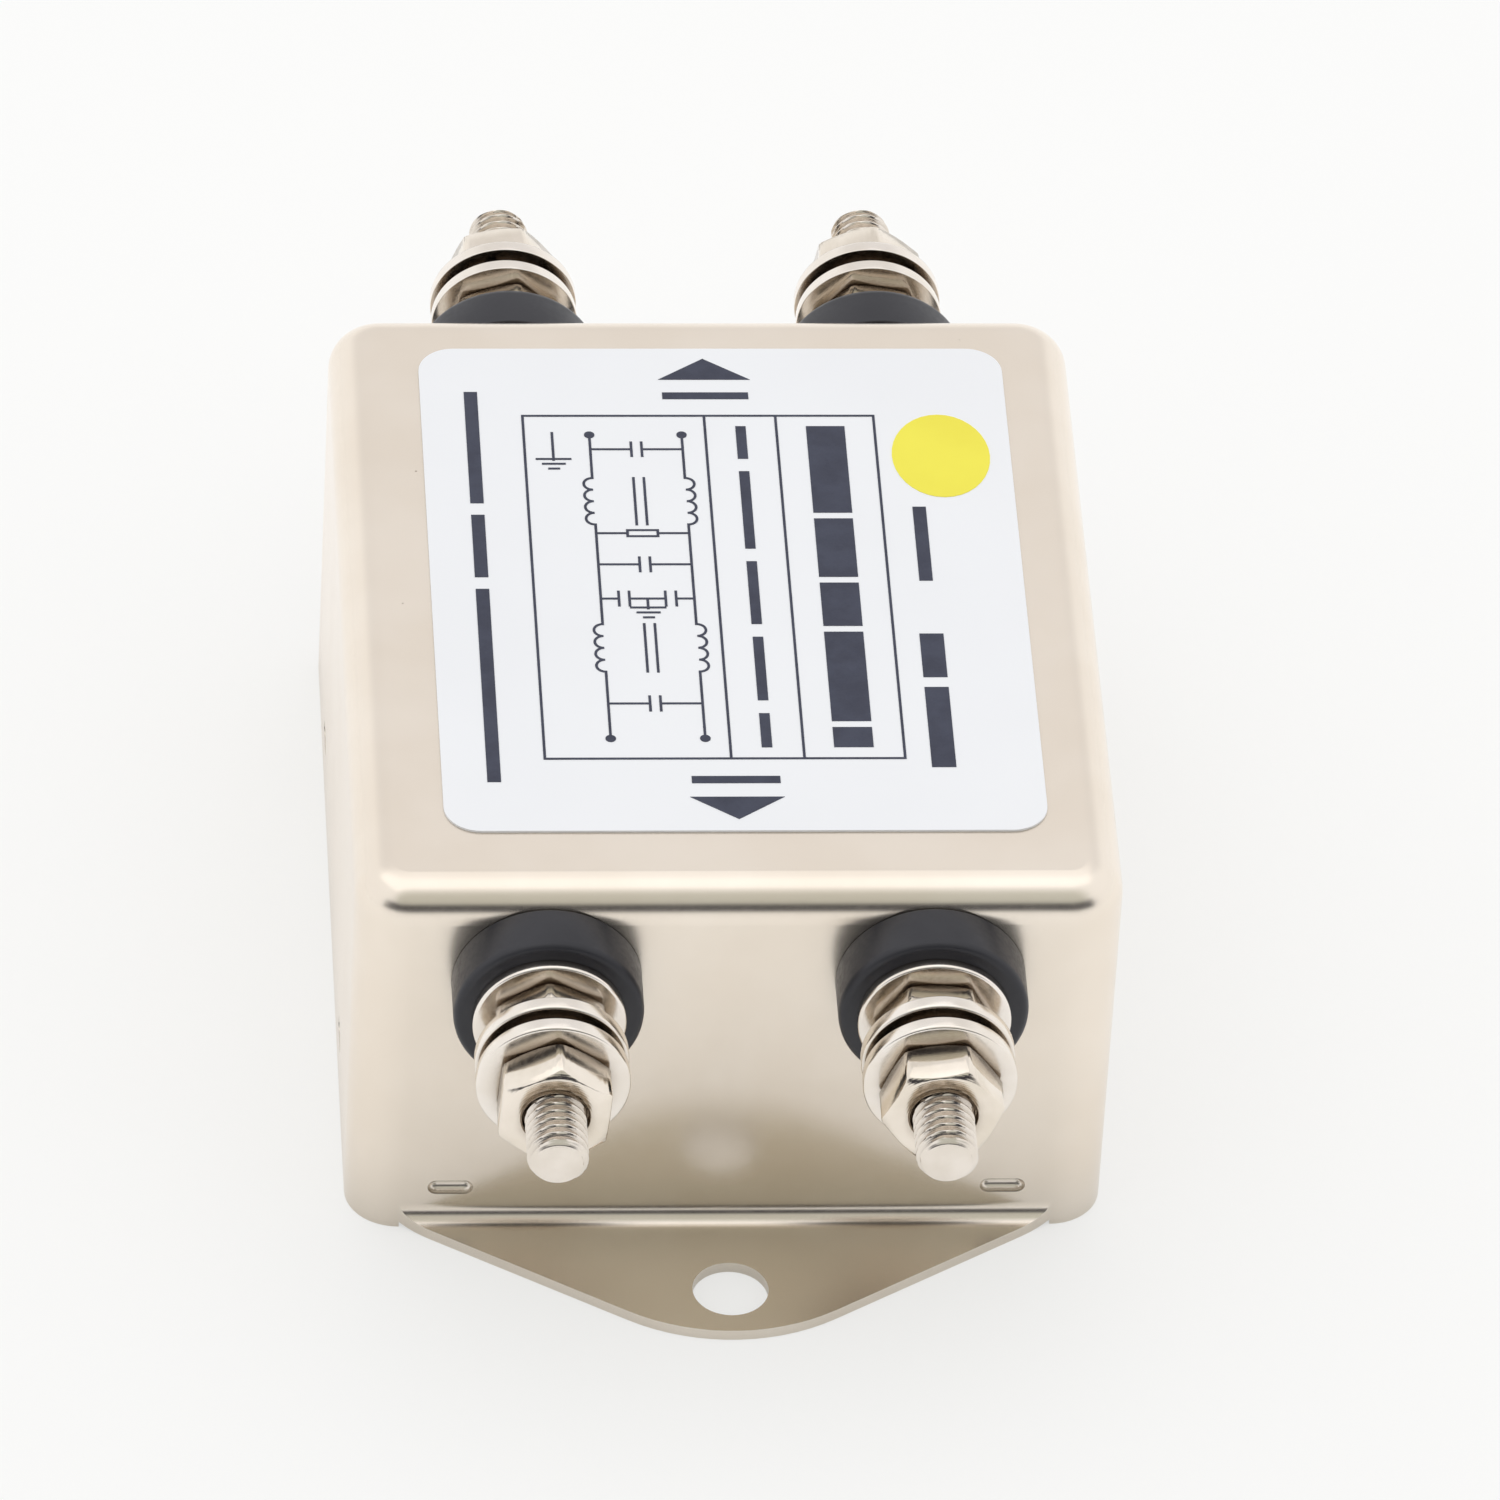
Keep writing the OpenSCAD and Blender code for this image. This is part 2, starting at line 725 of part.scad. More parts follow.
// Circuit board with a hole or slot for everything that is soldered into it
module circuit_board() {
    color("#4f7a46")
    difference() {
        translate([0, 0, board_z]) rounded_block(board_w, board_l, board_t, board_r);
        for (at = winding_leads()) board_hole(at, wire_d + lead_room);
        for (at = x_leads()) board_hole(at, x_lead_d + lead_room);
        for (at = small_leads()) board_hole(at, small_lead_d + lead_room);
        for (at = strap_tails()) board_slot(at, [tail_w, strap_t]);
        board_slot([ground_x, ground_y], [ground_w, ground_t]);
    }
}

module board_hole(at, d) {
    translate([at.x, at.y, board_z - cut]) cylinder(d = d, h = board_t + 2 * cut, $fn = 32);
}

module board_slot(at, size) {
    slot = [size.x + 2 * gap, size.y + 2 * gap, board_t + 2 * cut];
    translate([at.x - slot.x / 2, at.y - slot.y / 2, board_z - cut]) cube(slot);
}

// Solder under the board that holds each lead and tail
module solder_joints() {
    color("#b4b7bb") {
        for (at = winding_leads()) solder_cone(at, wire_d);
        for (at = x_leads()) solder_cone(at, x_lead_d);
        for (at = small_leads()) solder_cone(at, small_lead_d);
        for (at = strap_tails()) solder_bar(at, [tail_w, strap_t]);
        solder_bar([ground_x, ground_y], [ground_w, ground_t]);
    }
}

module solder_cone(at, d) {
    translate([at.x, at.y, board_z - solder_h]) difference() {
        cylinder(d1 = d + solder_rim, d2 = d + 2 * solder_rim, h = solder_h, $fn = 32);
        translate([0, 0, -cut]) cylinder(d = d, h = solder_h + 2 * cut, $fn = 32);
    }
}

module solder_bar(at, size) {
    outer = [size.x + 2 * solder_rim, size.y + 2 * solder_rim, solder_h];
    translate([at.x, at.y, board_z - solder_h]) difference() {
        translate([-outer.x / 2, -outer.y / 2, 0]) cube(outer);
        translate([-size.x / 2, -size.y / 2, -cut]) cube([size.x, size.y, solder_h + 2 * cut]);
    }
}

// Ferrite ring in its plastic case
module choke_core(end) {
    color("#2f6a4a")
    translate([0, end * choke_y, choke_z]) rotate_extrude() translate([core_mid_r, 0]) {
        half_w = (core_od - core_id) / 4;
        half_h = core_h / 2;
        polygon([
            [half_w, -half_h + core_edge], [half_w, half_h - core_edge], [half_w - core_edge, half_h],
            [-half_w + core_edge, half_h], [-half_w, half_h - core_edge], [-half_w, -half_h + core_edge],
            [-half_w + core_edge, -half_h], [half_w - core_edge, -half_h]
        ]);
    }
}

// Plastic plate that stands on the board, carries the core and keeps the two windings apart
module choke_divider(end) {
    tongue_l = core_id - gap;
    foot_h = choke_z - core_h / 2 - board_top;
    color("#e9e4d2")
    translate([-divider_t / 2, end * choke_y, board_top]) {
        translate([0, -divider_foot_l / 2, 0]) cube([divider_t, divider_foot_l, foot_h]);
        translate([0, -tongue_l / 2, 0]) cube([divider_t, tongue_l, foot_h + core_h]);
    }
}

// Point of a loop round the core's section at angle s, as [distance from the choke's axis, height]
function loop_point(s) = [
    core_mid_r + loop_w * sign(cos(s)) * sqrt(abs(cos(s))),
    loop_h * sign(sin(s)) * sqrt(abs(sin(s)))
];

function round_axis(a, r, z) = [r * cos(a), r * sin(a), z];

// Winding: up through the board, round the core turn by turn, and down through the board again
module winding(side, end) {
    angles = winding_lead_angles(side);
    steps = turns * steps_per_turn - 2;
    step_angles = [for (i = [0:steps]) angles[0] + (angles[1] - angles[0]) * i / steps];
    loops = [for (i = [0:steps])
        let (p = loop_point(360 * i / steps_per_turn)) round_axis(step_angles[i], p[0], p[1])];
    foot = tail_end_z - choke_z;
    path = concat(
        [round_axis(angles[0], lead_r, foot)],
        loops,
        [round_axis(angles[1], lead_r, -loop_h - wire_d / 2), round_axis(angles[1], lead_r, foot)]
    );
    path_angles = concat([angles[0]], step_angles, [angles[1], angles[1]]);
    sides = [for (a = path_angles) [-sin(a), cos(a), 0]];
    color("#b4602c")
    translate([0, end * choke_y, choke_z]) wire(path, sides, wire_d / 2);
}

// Boxed film capacitor with two leads, its length along Y
module x_capacitor(at) {
    box_r = 0.6;
    color("#d8b13a")
    translate([at.x, at.y, 0]) {
        translate([0, 0, board_top]) rounded_block(x_cap_w, x_cap_l, x_cap_h, box_r);
        for (y = [-1, 1])
            translate([0, y * x_lead_pitch / 2, tail_end_z])
                cylinder(d = x_lead_d, h = board_top - tail_end_z + cut, $fn = 32);
    }
}

// Ceramic disc capacitor, standing, with two leads
module y_capacitor(side) {
    disc_z = board_top + y_cap_lift + y_cap_d / 2;
    edge = 0.8;
    color("#2f5fa8")
    translate([side * y_cap_x, 0, 0]) {
        translate([0, y_cap_t / 2, disc_z]) rotate([90, 0, 0]) bevelled_disc(y_cap_d, y_cap_t, edge);
        for (x = [-1, 1])
            translate([x * y_lead_pitch / 2, 0, tail_end_z])
                cylinder(d = small_lead_d, h = disc_z - y_cap_d / 4 - tail_end_z, $fn = 32);
    }
}

// Resistor that discharges the capacitors, lying across with its leads bent down
module bleed_resistor() {
    bend = 0.5;
    out = resistor_span / 2;
    lead = [
        [resistor_len / 2 - cut, resistor_z], [out - bend, resistor_z],
        [out - 0.3 * bend, resistor_z - 0.3 * bend], [out, resistor_z - bend], [out, tail_end_z]
    ];
    color("#cdb48a")
    translate([resistor_x, 0, 0]) {
        translate([-resistor_len / 2, 0, resistor_z]) rotate([0, 90, 0])
            bevelled_disc(resistor_d, resistor_len, 0.4);
        for (x = [-1, 1])
            wire([for (p = lead) [x * p.x, 0, p.y]], [for (p = lead) [0, 1, 0]], small_lead_d / 2);
    }
}

// Bent strap that joins the board's earth track to the base plate
module ground_strap() {
    color("#c9b58a")
    difference() {
        union() {
            translate([ground_x - ground_w / 2, ground_y - ground_t / 2, base_top])
                cube([ground_w, ground_t, board_top + ground_above - base_top]);
            translate([ground_x - ground_w / 2, ground_y + ground_t / 2 - ground_foot, base_top])
                cube([ground_w, ground_foot, ground_t]);
        }
        translate([ground_x, rivet_y, base_top - cut]) cylinder(d = rivet_d, h = ground_t + 2 * cut);
    }
}

module ground_rivet() {
    color("#b9b3a8")
    translate([ground_x, rivet_y, 0]) {
        translate([0, 0, base_z - rivet_head_t]) cylinder(d = rivet_head_d, h = rivet_head_t);
        translate([0, 0, base_z - cut]) cylinder(d = rivet_d, h = base_t + ground_t + 2 * cut);
        translate([0, 0, base_top + ground_t]) cylinder(d = rivet_head_d, h = rivet_head_t);
    }
}

// ---------------------------------------------------------------- nodes

can_shell();
base_plate();
label();
label_ink();
label_badge();
bush(LOAD_LEFT);  // bush_load_left
bush(LOAD_RIGHT);  // bush_load_right
bush(LINE_LEFT);  // bush_line_left
bush(LINE_RIGHT);  // bush_line_right
inner_ring(LOAD_LEFT);  // inner_ring_load_left
inner_ring(LOAD_RIGHT);  // inner_ring_load_right
inner_ring(LINE_LEFT);  // inner_ring_line_left
inner_ring(LINE_RIGHT);  // inner_ring_line_right
stud(LOAD_LEFT);  // stud_load_left
stud(LOAD_RIGHT);  // stud_load_right
stud(LINE_LEFT);  // stud_line_left
stud(LINE_RIGHT);  // stud_line_right
strap(LOAD_LEFT);  // strap_load_left
strap(LOAD_RIGHT);  // strap_load_right
strap(LINE_LEFT);  // strap_line_left
strap(LINE_RIGHT);  // strap_line_right
bush_washers();
lock_nuts();
lug_washers();
spring_washers();
clamp_washers();
clamp_nuts();
insulating_tray();
board_spacers();
circuit_board();
choke_core(-1);  // choke_core_load
choke_core(1);  // choke_core_line
choke_divider(-1);  // choke_divider_load
choke_divider(1);  // choke_divider_line
winding(-1, -1);  // winding_load_left
winding(1, -1);  // winding_load_right
winding(-1, 1);  // winding_line_left
winding(1, 1);  // winding_line_right
x_capacitor(X_CAPS[0]);  // x_capacitor_load
x_capacitor(X_CAPS[1]);  // x_capacitor_middle
x_capacitor(X_CAPS[2]);  // x_capacitor_line
y_capacitor(-1);  // y_capacitor_left
y_capacitor(1);  // y_capacitor_right
bleed_resistor();
ground_strap();
ground_rivet();
solder_joints();
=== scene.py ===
# %% [markdown]
# # A mains line filter in a drawn metal can
# The object is a small nickel-plated can that hides a choke-and-capacitor circuit. Two threaded
# terminals stand out of each end, and a flat ear below each pair takes a mounting screw.
# The exact solids come in as a frame, so this lesson only adds what solids don't carry: finishes,
# soft edges, screw threads and light. Objects are in metres, in the frame's own coordinates, and
# the outlines of the turned parts are written in millimetres.

# %% Load the frame
import json
import math
import bpy
from mathutils import Matrix, Vector


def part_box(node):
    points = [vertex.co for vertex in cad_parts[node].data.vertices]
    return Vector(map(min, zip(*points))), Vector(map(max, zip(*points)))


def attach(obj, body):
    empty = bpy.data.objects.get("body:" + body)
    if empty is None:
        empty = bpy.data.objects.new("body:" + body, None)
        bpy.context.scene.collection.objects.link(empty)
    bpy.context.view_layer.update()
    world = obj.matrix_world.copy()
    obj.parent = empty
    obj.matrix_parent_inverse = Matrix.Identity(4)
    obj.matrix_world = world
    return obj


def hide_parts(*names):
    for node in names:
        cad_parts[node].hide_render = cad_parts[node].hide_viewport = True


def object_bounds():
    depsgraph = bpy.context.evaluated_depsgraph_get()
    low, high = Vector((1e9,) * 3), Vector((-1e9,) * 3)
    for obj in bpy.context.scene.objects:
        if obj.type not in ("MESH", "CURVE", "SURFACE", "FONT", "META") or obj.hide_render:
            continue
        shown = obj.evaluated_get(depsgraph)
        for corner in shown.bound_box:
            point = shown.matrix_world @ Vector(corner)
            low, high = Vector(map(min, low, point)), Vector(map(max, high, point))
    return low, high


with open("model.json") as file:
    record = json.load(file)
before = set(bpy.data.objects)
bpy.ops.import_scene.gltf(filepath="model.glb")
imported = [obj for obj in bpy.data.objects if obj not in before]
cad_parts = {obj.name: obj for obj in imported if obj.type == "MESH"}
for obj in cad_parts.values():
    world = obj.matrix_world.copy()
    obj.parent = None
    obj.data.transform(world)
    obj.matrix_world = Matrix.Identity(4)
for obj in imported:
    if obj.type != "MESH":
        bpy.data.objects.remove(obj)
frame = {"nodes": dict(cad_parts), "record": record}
cad_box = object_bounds()
nodes = frame["nodes"]
MM = 0.001
PER_METRE = 1000.0
print("frame:", len(nodes), "nodes, box", [[round(c / MM, 2) for c in corner] for corner in cad_box])

# %% [markdown]
# ## Measures taken from the frame
# Each terminal is a stack of thin parts on one stud. The outer face of every part is known from its
# box, so a part's thickness is the step from the face before it. Reading the stack this way keeps
# the dressed parts on the solids even if the solids change later. The end wall's outer face is one
# sheet thickness beyond the insulating rings inside it.

# %% Measures
PLACES = {"load_left": (-1, -1), "load_right": (1, -1), "line_left": (-1, 1), "line_right": (1, 1)}
SHEET = 0.8


def far_face(node):
    """How far a node reaches along Y from the middle of the can, in millimetres."""
    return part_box(node)[1].y / MM


def near_face(node):
    """Where a node of the line end starts along Y, in millimetres."""
    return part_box(node)[0].y / MM


stud_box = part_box("stud_line_right")
axis_x = (stud_box[0].x + stud_box[1].x) / 2 / MM
axis_z = (stud_box[0].z + stud_box[1].z) / 2 / MM
wall_y = far_face("inner_ring_line_right") + SHEET
STACK = ["bush_line_right", "bush_washers", "lock_nuts", "lug_washers", "spring_washers",
         "clamp_washers", "clamp_nuts"]
reach = {name: far_face(name) - wall_y for name in STACK}
stud_reach = far_face("stud_line_right") - wall_y
print("terminal axis at x", round(axis_x, 2), "z", round(axis_z, 2), "wall at y", round(wall_y, 2))
print("stack reaches:", {name: round(r, 2) for name, r in reach.items()}, "stud", round(stud_reach, 2))

# %% [markdown]
# ## The camera
# A long lens stands about a metre away and looks down at the load end, a little from the left and
# turned a little about its own axis. The long focal length keeps the can's upright edges nearly
# parallel, which is how small parts are usually shown.

# %% Camera
AZIMUTH, ELEVATION, ROLL = math.radians(5.3), math.radians(40.94), math.radians(3.37)
DISTANCE = 0.9734
LENS, SENSOR = 349.6, 36
AIM = Vector((0, 0, 0.015))
SIDE_STEP, UP_STEP = 2.64 * MM, 0.325 * MM

back = Vector((-math.sin(AZIMUTH) * math.cos(ELEVATION), -math.cos(AZIMUTH) * math.cos(ELEVATION),
               math.sin(ELEVATION)))
level_right = Vector((math.cos(AZIMUTH), -math.sin(AZIMUTH), 0))
level_up = back.cross(level_right)
right = level_right * math.cos(ROLL) + level_up * math.sin(ROLL)
up = level_up * math.cos(ROLL) - level_right * math.sin(ROLL)

camera_data = bpy.data.cameras.new("camera")
camera_data.lens = LENS
camera_data.sensor_width = SENSOR
camera_data.clip_start = 0.05
camera = bpy.data.objects.new("camera", camera_data)
bpy.context.scene.collection.objects.link(camera)
turn = Matrix((right, up, back)).transposed().to_4x4()
camera.matrix_world = Matrix.Translation(AIM + back * DISTANCE + right * SIDE_STEP + up * UP_STEP) @ turn
bpy.context.scene.camera = camera
bpy.context.scene.view_settings.view_transform = "Standard"
print("camera at", [round(c, 3) for c in camera.matrix_world.translation])

# %% [markdown]
# ## Meshes from rings
# Washers, bushes, nuts and threads can all be made from rings of points that follow each other along
# or round an axis. One helper turns a list of rings into faces, and every other shape only has to
# say where its rings are. This gives clean strips of four-sided faces, which shade better than a cut
# or merged solid.

# %% Ring helpers
LATHE_SIDES = 96


def skin(rings, closed):
    """Faces between neighbouring rings; an open run of rings gets a cap at each end."""
    count = len(rings[0])
    verts = [point for ring in rings for point in ring]
    pairs = [(i, i + 1) for i in range(len(rings) - 1)] + ([(len(rings) - 1, 0)] if closed else [])
    faces = [(a * count + k, a * count + (k + 1) % count, b * count + (k + 1) % count, b * count + k)
             for a, b in pairs for k in range(count)]
    if not closed:
        faces.append(tuple(reversed(range(count))))
        faces.append(tuple(range(len(verts) - count, len(verts))))
    return verts, faces


def soften(outline, radius, steps=3):
    """Rounds each corner of a closed outline of (r, z) points; a third number is its own radius."""
    soft = []
    for i, corner in enumerate(outline):
        here = Vector(corner[:2])
        size = corner[2] if len(corner) > 2 else radius
        to_before = Vector(outline[i - 1][:2]) - here
        to_after = Vector(outline[(i + 1) % len(outline)][:2]) - here
        cut = min(size, 0.45 * to_before.length, 0.45 * to_after.length)
        first, last = here + to_before.normalized() * cut, here + to_after.normalized() * cut
        for k in range(steps + 1):
            t = k / steps
            soft.append(first * (1 - t) ** 2 + here * 2 * t * (1 - t) + last * t * t)
    return soft


def lathe(outline):
    """Carries a closed outline of (r, z) points round the Z axis."""
    angles = [2 * math.pi * k / LATHE_SIDES for k in range(LATHE_SIDES)]
    rings = [[Vector((p[0] * math.cos(a), p[0] * math.sin(a), p[1])) for a in angles] for p in outline]
    return skin(rings, closed=True)


print("ring helpers: skin, soften and lathe")

# %% [markdown]
# ## Placing a shape on the terminals
# All four terminals are alike, so a part is made once about the Z axis and then stood on each end
# wall. A matrix does this: it turns the part's own axis outwards, keeps its top side up, and moves it
# out to where the stack has room for it.

# %% Places of the terminals
def joined(*shapes):
    """Several (verts, faces) shapes as one."""
    verts, faces = [], []
    for more_verts, more_faces in shapes:
        start = len(verts)
        verts += more_verts
        faces += [tuple(i + start for i in face) for face in more_faces]
    return verts, faces


def moved(shape, matrix):
    """A (verts, faces) shape carried by a matrix."""
    return [matrix @ v for v in shape[0]], shape[1]


def at_terminal(place, out=0.0, spin=0.0):
    """Matrix that stands a shape on an end wall: its +Z points outwards and its +Y stays up."""
    side, end = PLACES[place]
    stand = Matrix(((-end, 0, 0), (0, 0, end), (0, 1, 0))).to_4x4()
    return (Matrix.Translation((side * axis_x, end * wall_y, axis_z)) @ stand
            @ Matrix.Translation((0, 0, out)) @ Matrix.Rotation(math.radians(spin), 4, "Z"))


for place in PLACES:
    print("terminal", place, "leaves its wall at", [round(c, 2) for c in at_terminal(place).translation])

# %% [markdown]
# ## From a shape to a piece
# A piece needs a mesh in metres, smooth faces with crisp edges between them and a material, and the
# solid it stands for is hidden and named in a printed line. One function does all of it, so no piece can
# miss a step.

# %% Making a piece
SHARP_ANGLE = math.radians(38)


def make_piece(name, shape, material, replaces):
    """Makes one object of a shape in millimetres, with its material, and rides it on the root."""
    mesh = bpy.data.meshes.new(name)
    mesh.from_pydata([v * MM for v in shape[0]], [], shape[1])
    mesh.update()
    mesh.polygons.foreach_set("use_smooth", [True] * len(mesh.polygons))
    mesh.set_sharp_from_angle(angle=SHARP_ANGLE)
    mesh.materials.append(material)
    piece = bpy.data.objects.new(name, mesh)
    bpy.context.scene.collection.objects.link(piece)
    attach(piece, "root")
    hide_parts(*replaces)
    print(name, "has", len(mesh.polygons), "faces and stands for", ", ".join(replaces))
    return piece


print("edges sharper than", round(math.degrees(SHARP_ANGLE)), "degrees stay crisp")

# %% [markdown]
# ## Shared effects for the finishes
# Most finishes need the same few things: a fine grain, a slow drift of tone, and worn edges. Each
# is a node group, built once, and a material sets its own values on it. A group only hands out
# masks and heights; the shader itself stays in the material.

# %% Group helpers
def start_group(name, inputs, outputs):
    """A shader node group with float inputs {name: default} and float outputs [name]."""
    group = bpy.data.node_groups.new(name, "ShaderNodeTree")
    for label, value in inputs.items():
        socket = group.interface.new_socket(label, in_out="INPUT", socket_type="NodeSocketFloat")
        socket.default_value = value
    for label in outputs:
        group.interface.new_socket(label, in_out="OUTPUT", socket_type="NodeSocketFloat")
    start = group.nodes.new("NodeGroupInput")
    end = group.nodes.new("NodeGroupOutput")
    return group, start, end


def math_node(tree, operation, first, second=None):
    """One sum on numbers or sockets."""
    node = tree.nodes.new("ShaderNodeMath")
    node.operation = operation
    for socket, value in zip(node.inputs, (first, second)):
        if value is None:
            continue
        if isinstance(value, (int, float)):
            socket.default_value = value
        else:
            tree.links.new(value, socket)
    return node.outputs[0]


def map_range(tree, value, low, high, to_low=0.0, to_high=1.0, smooth=True):
    """Carries the range low to high onto to_low to to_high, held at both ends."""
    node = tree.nodes.new("ShaderNodeMapRange")
    node.interpolation_type = "SMOOTHSTEP" if smooth else "LINEAR"
    tree.links.new(value, node.inputs["Value"])
    for label, setting in (("From Min", low), ("From Max", high), ("To Min", to_low), ("To Max", to_high)):
        if isinstance(setting, (int, float)):
            node.inputs[label].default_value = setting
        else:
            tree.links.new(setting, node.inputs[label])
    return node.outputs["Result"]


def noise_node(tree, vector, scale, detail=2.0, rough=0.5):
    """Cloudy noise from 0 to 1, with scale in clouds per metre."""
    node = tree.nodes.new("ShaderNodeTexNoise")
    node.inputs["Detail"].default_value = detail
    node.inputs["Roughness"].default_value = rough
    tree.links.new(vector, node.inputs["Vector"])
    tree.links.new(scale, node.inputs["Scale"])
    return node.outputs["Fac"]


def object_place(tree):
    """Place on the object in metres, which no view and no unwrapping changes."""
    return tree.nodes.new("ShaderNodeTexCoord").outputs["Object"]


print("group helpers: start_group, math_node, map_range, noise_node and object_place")

# %% [markdown]
# ## Grain
# Satin plating and moulded plastic both have a skin of tiny bumps. One noise looks too regular, so
# a fine and a coarser one are mixed. The height drives a bump, and the mask varies the gloss.

# %% Fine grain
COARSE_SCALE = 0.22


def build_fine_grain():
    """Two sizes of noise: a height for bumps and a mask for roughness."""
    group, start, end = start_group("Fine Grain", {"Grains per mm": 4.0, "Coarse share": 0.5},
                                    ["Height", "Mask"])
    place = object_place(group)
    scale = math_node(group, "MULTIPLY", start.outputs["Grains per mm"], PER_METRE)
    fine = noise_node(group, place, scale)
    coarse = noise_node(group, place, math_node(group, "MULTIPLY", scale, COARSE_SCALE))
    share = start.outputs["Coarse share"]
    both = math_node(group, "ADD", math_node(group, "MULTIPLY", coarse, share),
                     math_node(group, "MULTIPLY", fine, math_node(group, "SUBTRACT", 1.0, share)))
    group.links.new(both, end.inputs["Height"])
    group.links.new(map_range(group, both, 0.35, 0.65), end.inputs["Mask"])
    return group


FINE_GRAIN = build_fine_grain()
print("group:", FINE_GRAIN.name)

# %% [markdown]
# ## Drift
# Plating and plastic are never quite even. A cloud several millimetres wide, used as a mask between
# two close tones, gives a plain surface this life without showing as a pattern.

# %% Slow drift
def build_slow_drift():
    """A mask that drifts softly over several millimetres."""
    group, start, end = start_group("Slow Drift", {"Cloud size mm": 12.0}, ["Mask"])
    scale = math_node(group, "DIVIDE", PER_METRE, start.outputs["Cloud size mm"])
    cloud = noise_node(group, object_place(group), scale, detail=3.0, rough=0.55)
    group.links.new(map_range(group, cloud, 0.3, 0.7), end.inputs["Mask"])
    return group


SLOW_DRIFT = build_slow_drift()
print("group:", SLOW_DRIFT.name)

# %% [markdown]
# ## Worn edges
# Edges are rubbed brighter in handling. A bevel node returns the normal that a rounded edge would
# have, so wherever it leaves the true normal, an edge is near. Noise breaks the line into patches.

# %% Worn edge
SOFT_EDGE = 0.12 * MM


def build_worn_edge():
    """A patchy mask along the edges."""
    group, start, end = start_group("Worn Edge", {"Patch size mm": 1.5}, ["Mask"])
    bevel = group.nodes.new("ShaderNodeBevel")
    bevel.samples = 4
    bevel.inputs["Radius"].default_value = SOFT_EDGE
    geometry = group.nodes.new("ShaderNodeNewGeometry")
    dot = group.nodes.new("ShaderNodeVectorMath")
    dot.operation = "DOT_PRODUCT"
    group.links.new(bevel.outputs["Normal"], dot.inputs[0])
    group.links.new(geometry.outputs["Normal"], dot.inputs[1])
    edge = map_range(group, dot.outputs["Value"], 0.995, 0.9)
    scale = math_node(group, "DIVIDE", PER_METRE, start.outputs["Patch size mm"])
    patch = map_range(group, noise_node(group, object_place(group), scale), 0.35, 0.6)
    group.links.new(math_node(group, "MULTIPLY", edge, patch), end.inputs["Mask"])
    return group


WORN_EDGE = build_worn_edge()
print("group:", WORN_EDGE.name)

# %% [markdown]
# ## Specks
# A plated sheet has a pit or a speck of dirt here and there. A cell pattern gives one point to each
# cell of the chosen spacing, and the cell's random colour sets how large its speck is.

# %% Specks
def build_specks():
    """A mask of tiny dots, one to a cell and each up to the given size."""
    group, start, end = start_group("Specks", {"Spacing mm": 8.0, "Size mm": 0.25}, ["Mask"])
    cells = group.nodes.new("ShaderNodeTexVoronoi")
    group.links.new(object_place(group), cells.inputs["Vector"])
    scale = math_node(group, "DIVIDE", PER_METRE, start.outputs["Spacing mm"])
    group.links.new(scale, cells.inputs["Scale"])
    away = math_node(group, "MULTIPLY", cells.outputs["Distance"], start.outputs["Spacing mm"])
    pick = group.nodes.new("ShaderNodeSeparateColor")
    group.links.new(cells.outputs["Color"], pick.inputs[0])
    size = math_node(group, "MULTIPLY", pick.outputs[0], start.outputs["Size mm"])
    inner = math_node(group, "MULTIPLY", size, 0.5)
    group.links.new(map_range(group, away, size, inner), end.inputs["Mask"])
    return group


SPECKS = build_specks()
print("group:", SPECKS.name)

# %% [markdown]
# ## Painted shade in crevices
# The colour is darkened in inside corners and gaps: this is painted shade, standing in for the shade that
# falls there.
# An ambient occlusion node tells how closed in each point is. A short reach paints shade into the gaps
# between nuts and washers, and a long one paints shade on the ears and the foot of the wall above them.

# %% Painted shade in crevices
def build_crevice_shade():
    """A mask of painted shade for gaps and inside corners."""
    group, start, end = start_group("Crevice Painted Shade", {"Amount": 1.0, "Reach mm": 2.0}, ["Mask"])
    shelter = group.nodes.new("ShaderNodeAmbientOcclusion")
    shelter.samples = 4
    distance = math_node(group, "MULTIPLY", start.outputs["Reach mm"], MM)
    group.links.new(distance, shelter.inputs["Distance"])
    # The more closed in a point is, the more painted shade it gets.
    closed = map_range(group, shelter.outputs["AO"], 0.85, 0.25)
    group.links.new(math_node(group, "MULTIPLY", closed, start.outputs["Amount"]), end.inputs["Mask"])
    return group


CREVICE_SHADE = build_crevice_shade()
print("group:", CREVICE_SHADE.name)

# %% [markdown]
# ## Turned lines
# A lathe tool leaves fine rings on nut faces and bolt ends. Left and right terminals mirror each
# other, so the distance from the axis uses the size of X alone, and a sine of it makes the rings.

# %% Turned lines
def build_turned_lines():
    """The height of fine rings round the terminals' axes."""
    settings = {"Axis X mm": axis_x, "Axis Z mm": axis_z, "Lines per mm": 7.0}
    group, start, end = start_group("Turned Lines", settings, ["Height"])
    split = group.nodes.new("ShaderNodeSeparateXYZ")
    group.links.new(object_place(group), split.inputs[0])
    across = math_node(group, "MULTIPLY", math_node(group, "ABSOLUTE", split.outputs["X"]), PER_METRE)
    high = math_node(group, "MULTIPLY", split.outputs["Z"], PER_METRE)
    dx = math_node(group, "SUBTRACT", across, start.outputs["Axis X mm"])
    dz = math_node(group, "SUBTRACT", high, start.outputs["Axis Z mm"])
    squares = [math_node(group, "POWER", step, 2.0) for step in (dx, dz)]
    radius = math_node(group, "SQRT", math_node(group, "ADD", *squares))
    pace = math_node(group, "MULTIPLY", start.outputs["Lines per mm"], 2 * math.pi)
    wave = math_node(group, "SINE", math_node(group, "MULTIPLY", radius, pace))
    group.links.new(map_range(group, wave, -1.0, 1.0), end.inputs["Height"])
    return group


TURNED_LINES = build_turned_lines()
print("group:", TURNED_LINES.name)

# %% [markdown]
# ## Material helpers
# A material here is one shader with a few masks plugged in. The helpers below place a group, blend
# two colours or two values by a mask, and add a bump, so that each finish reads as a short recipe.

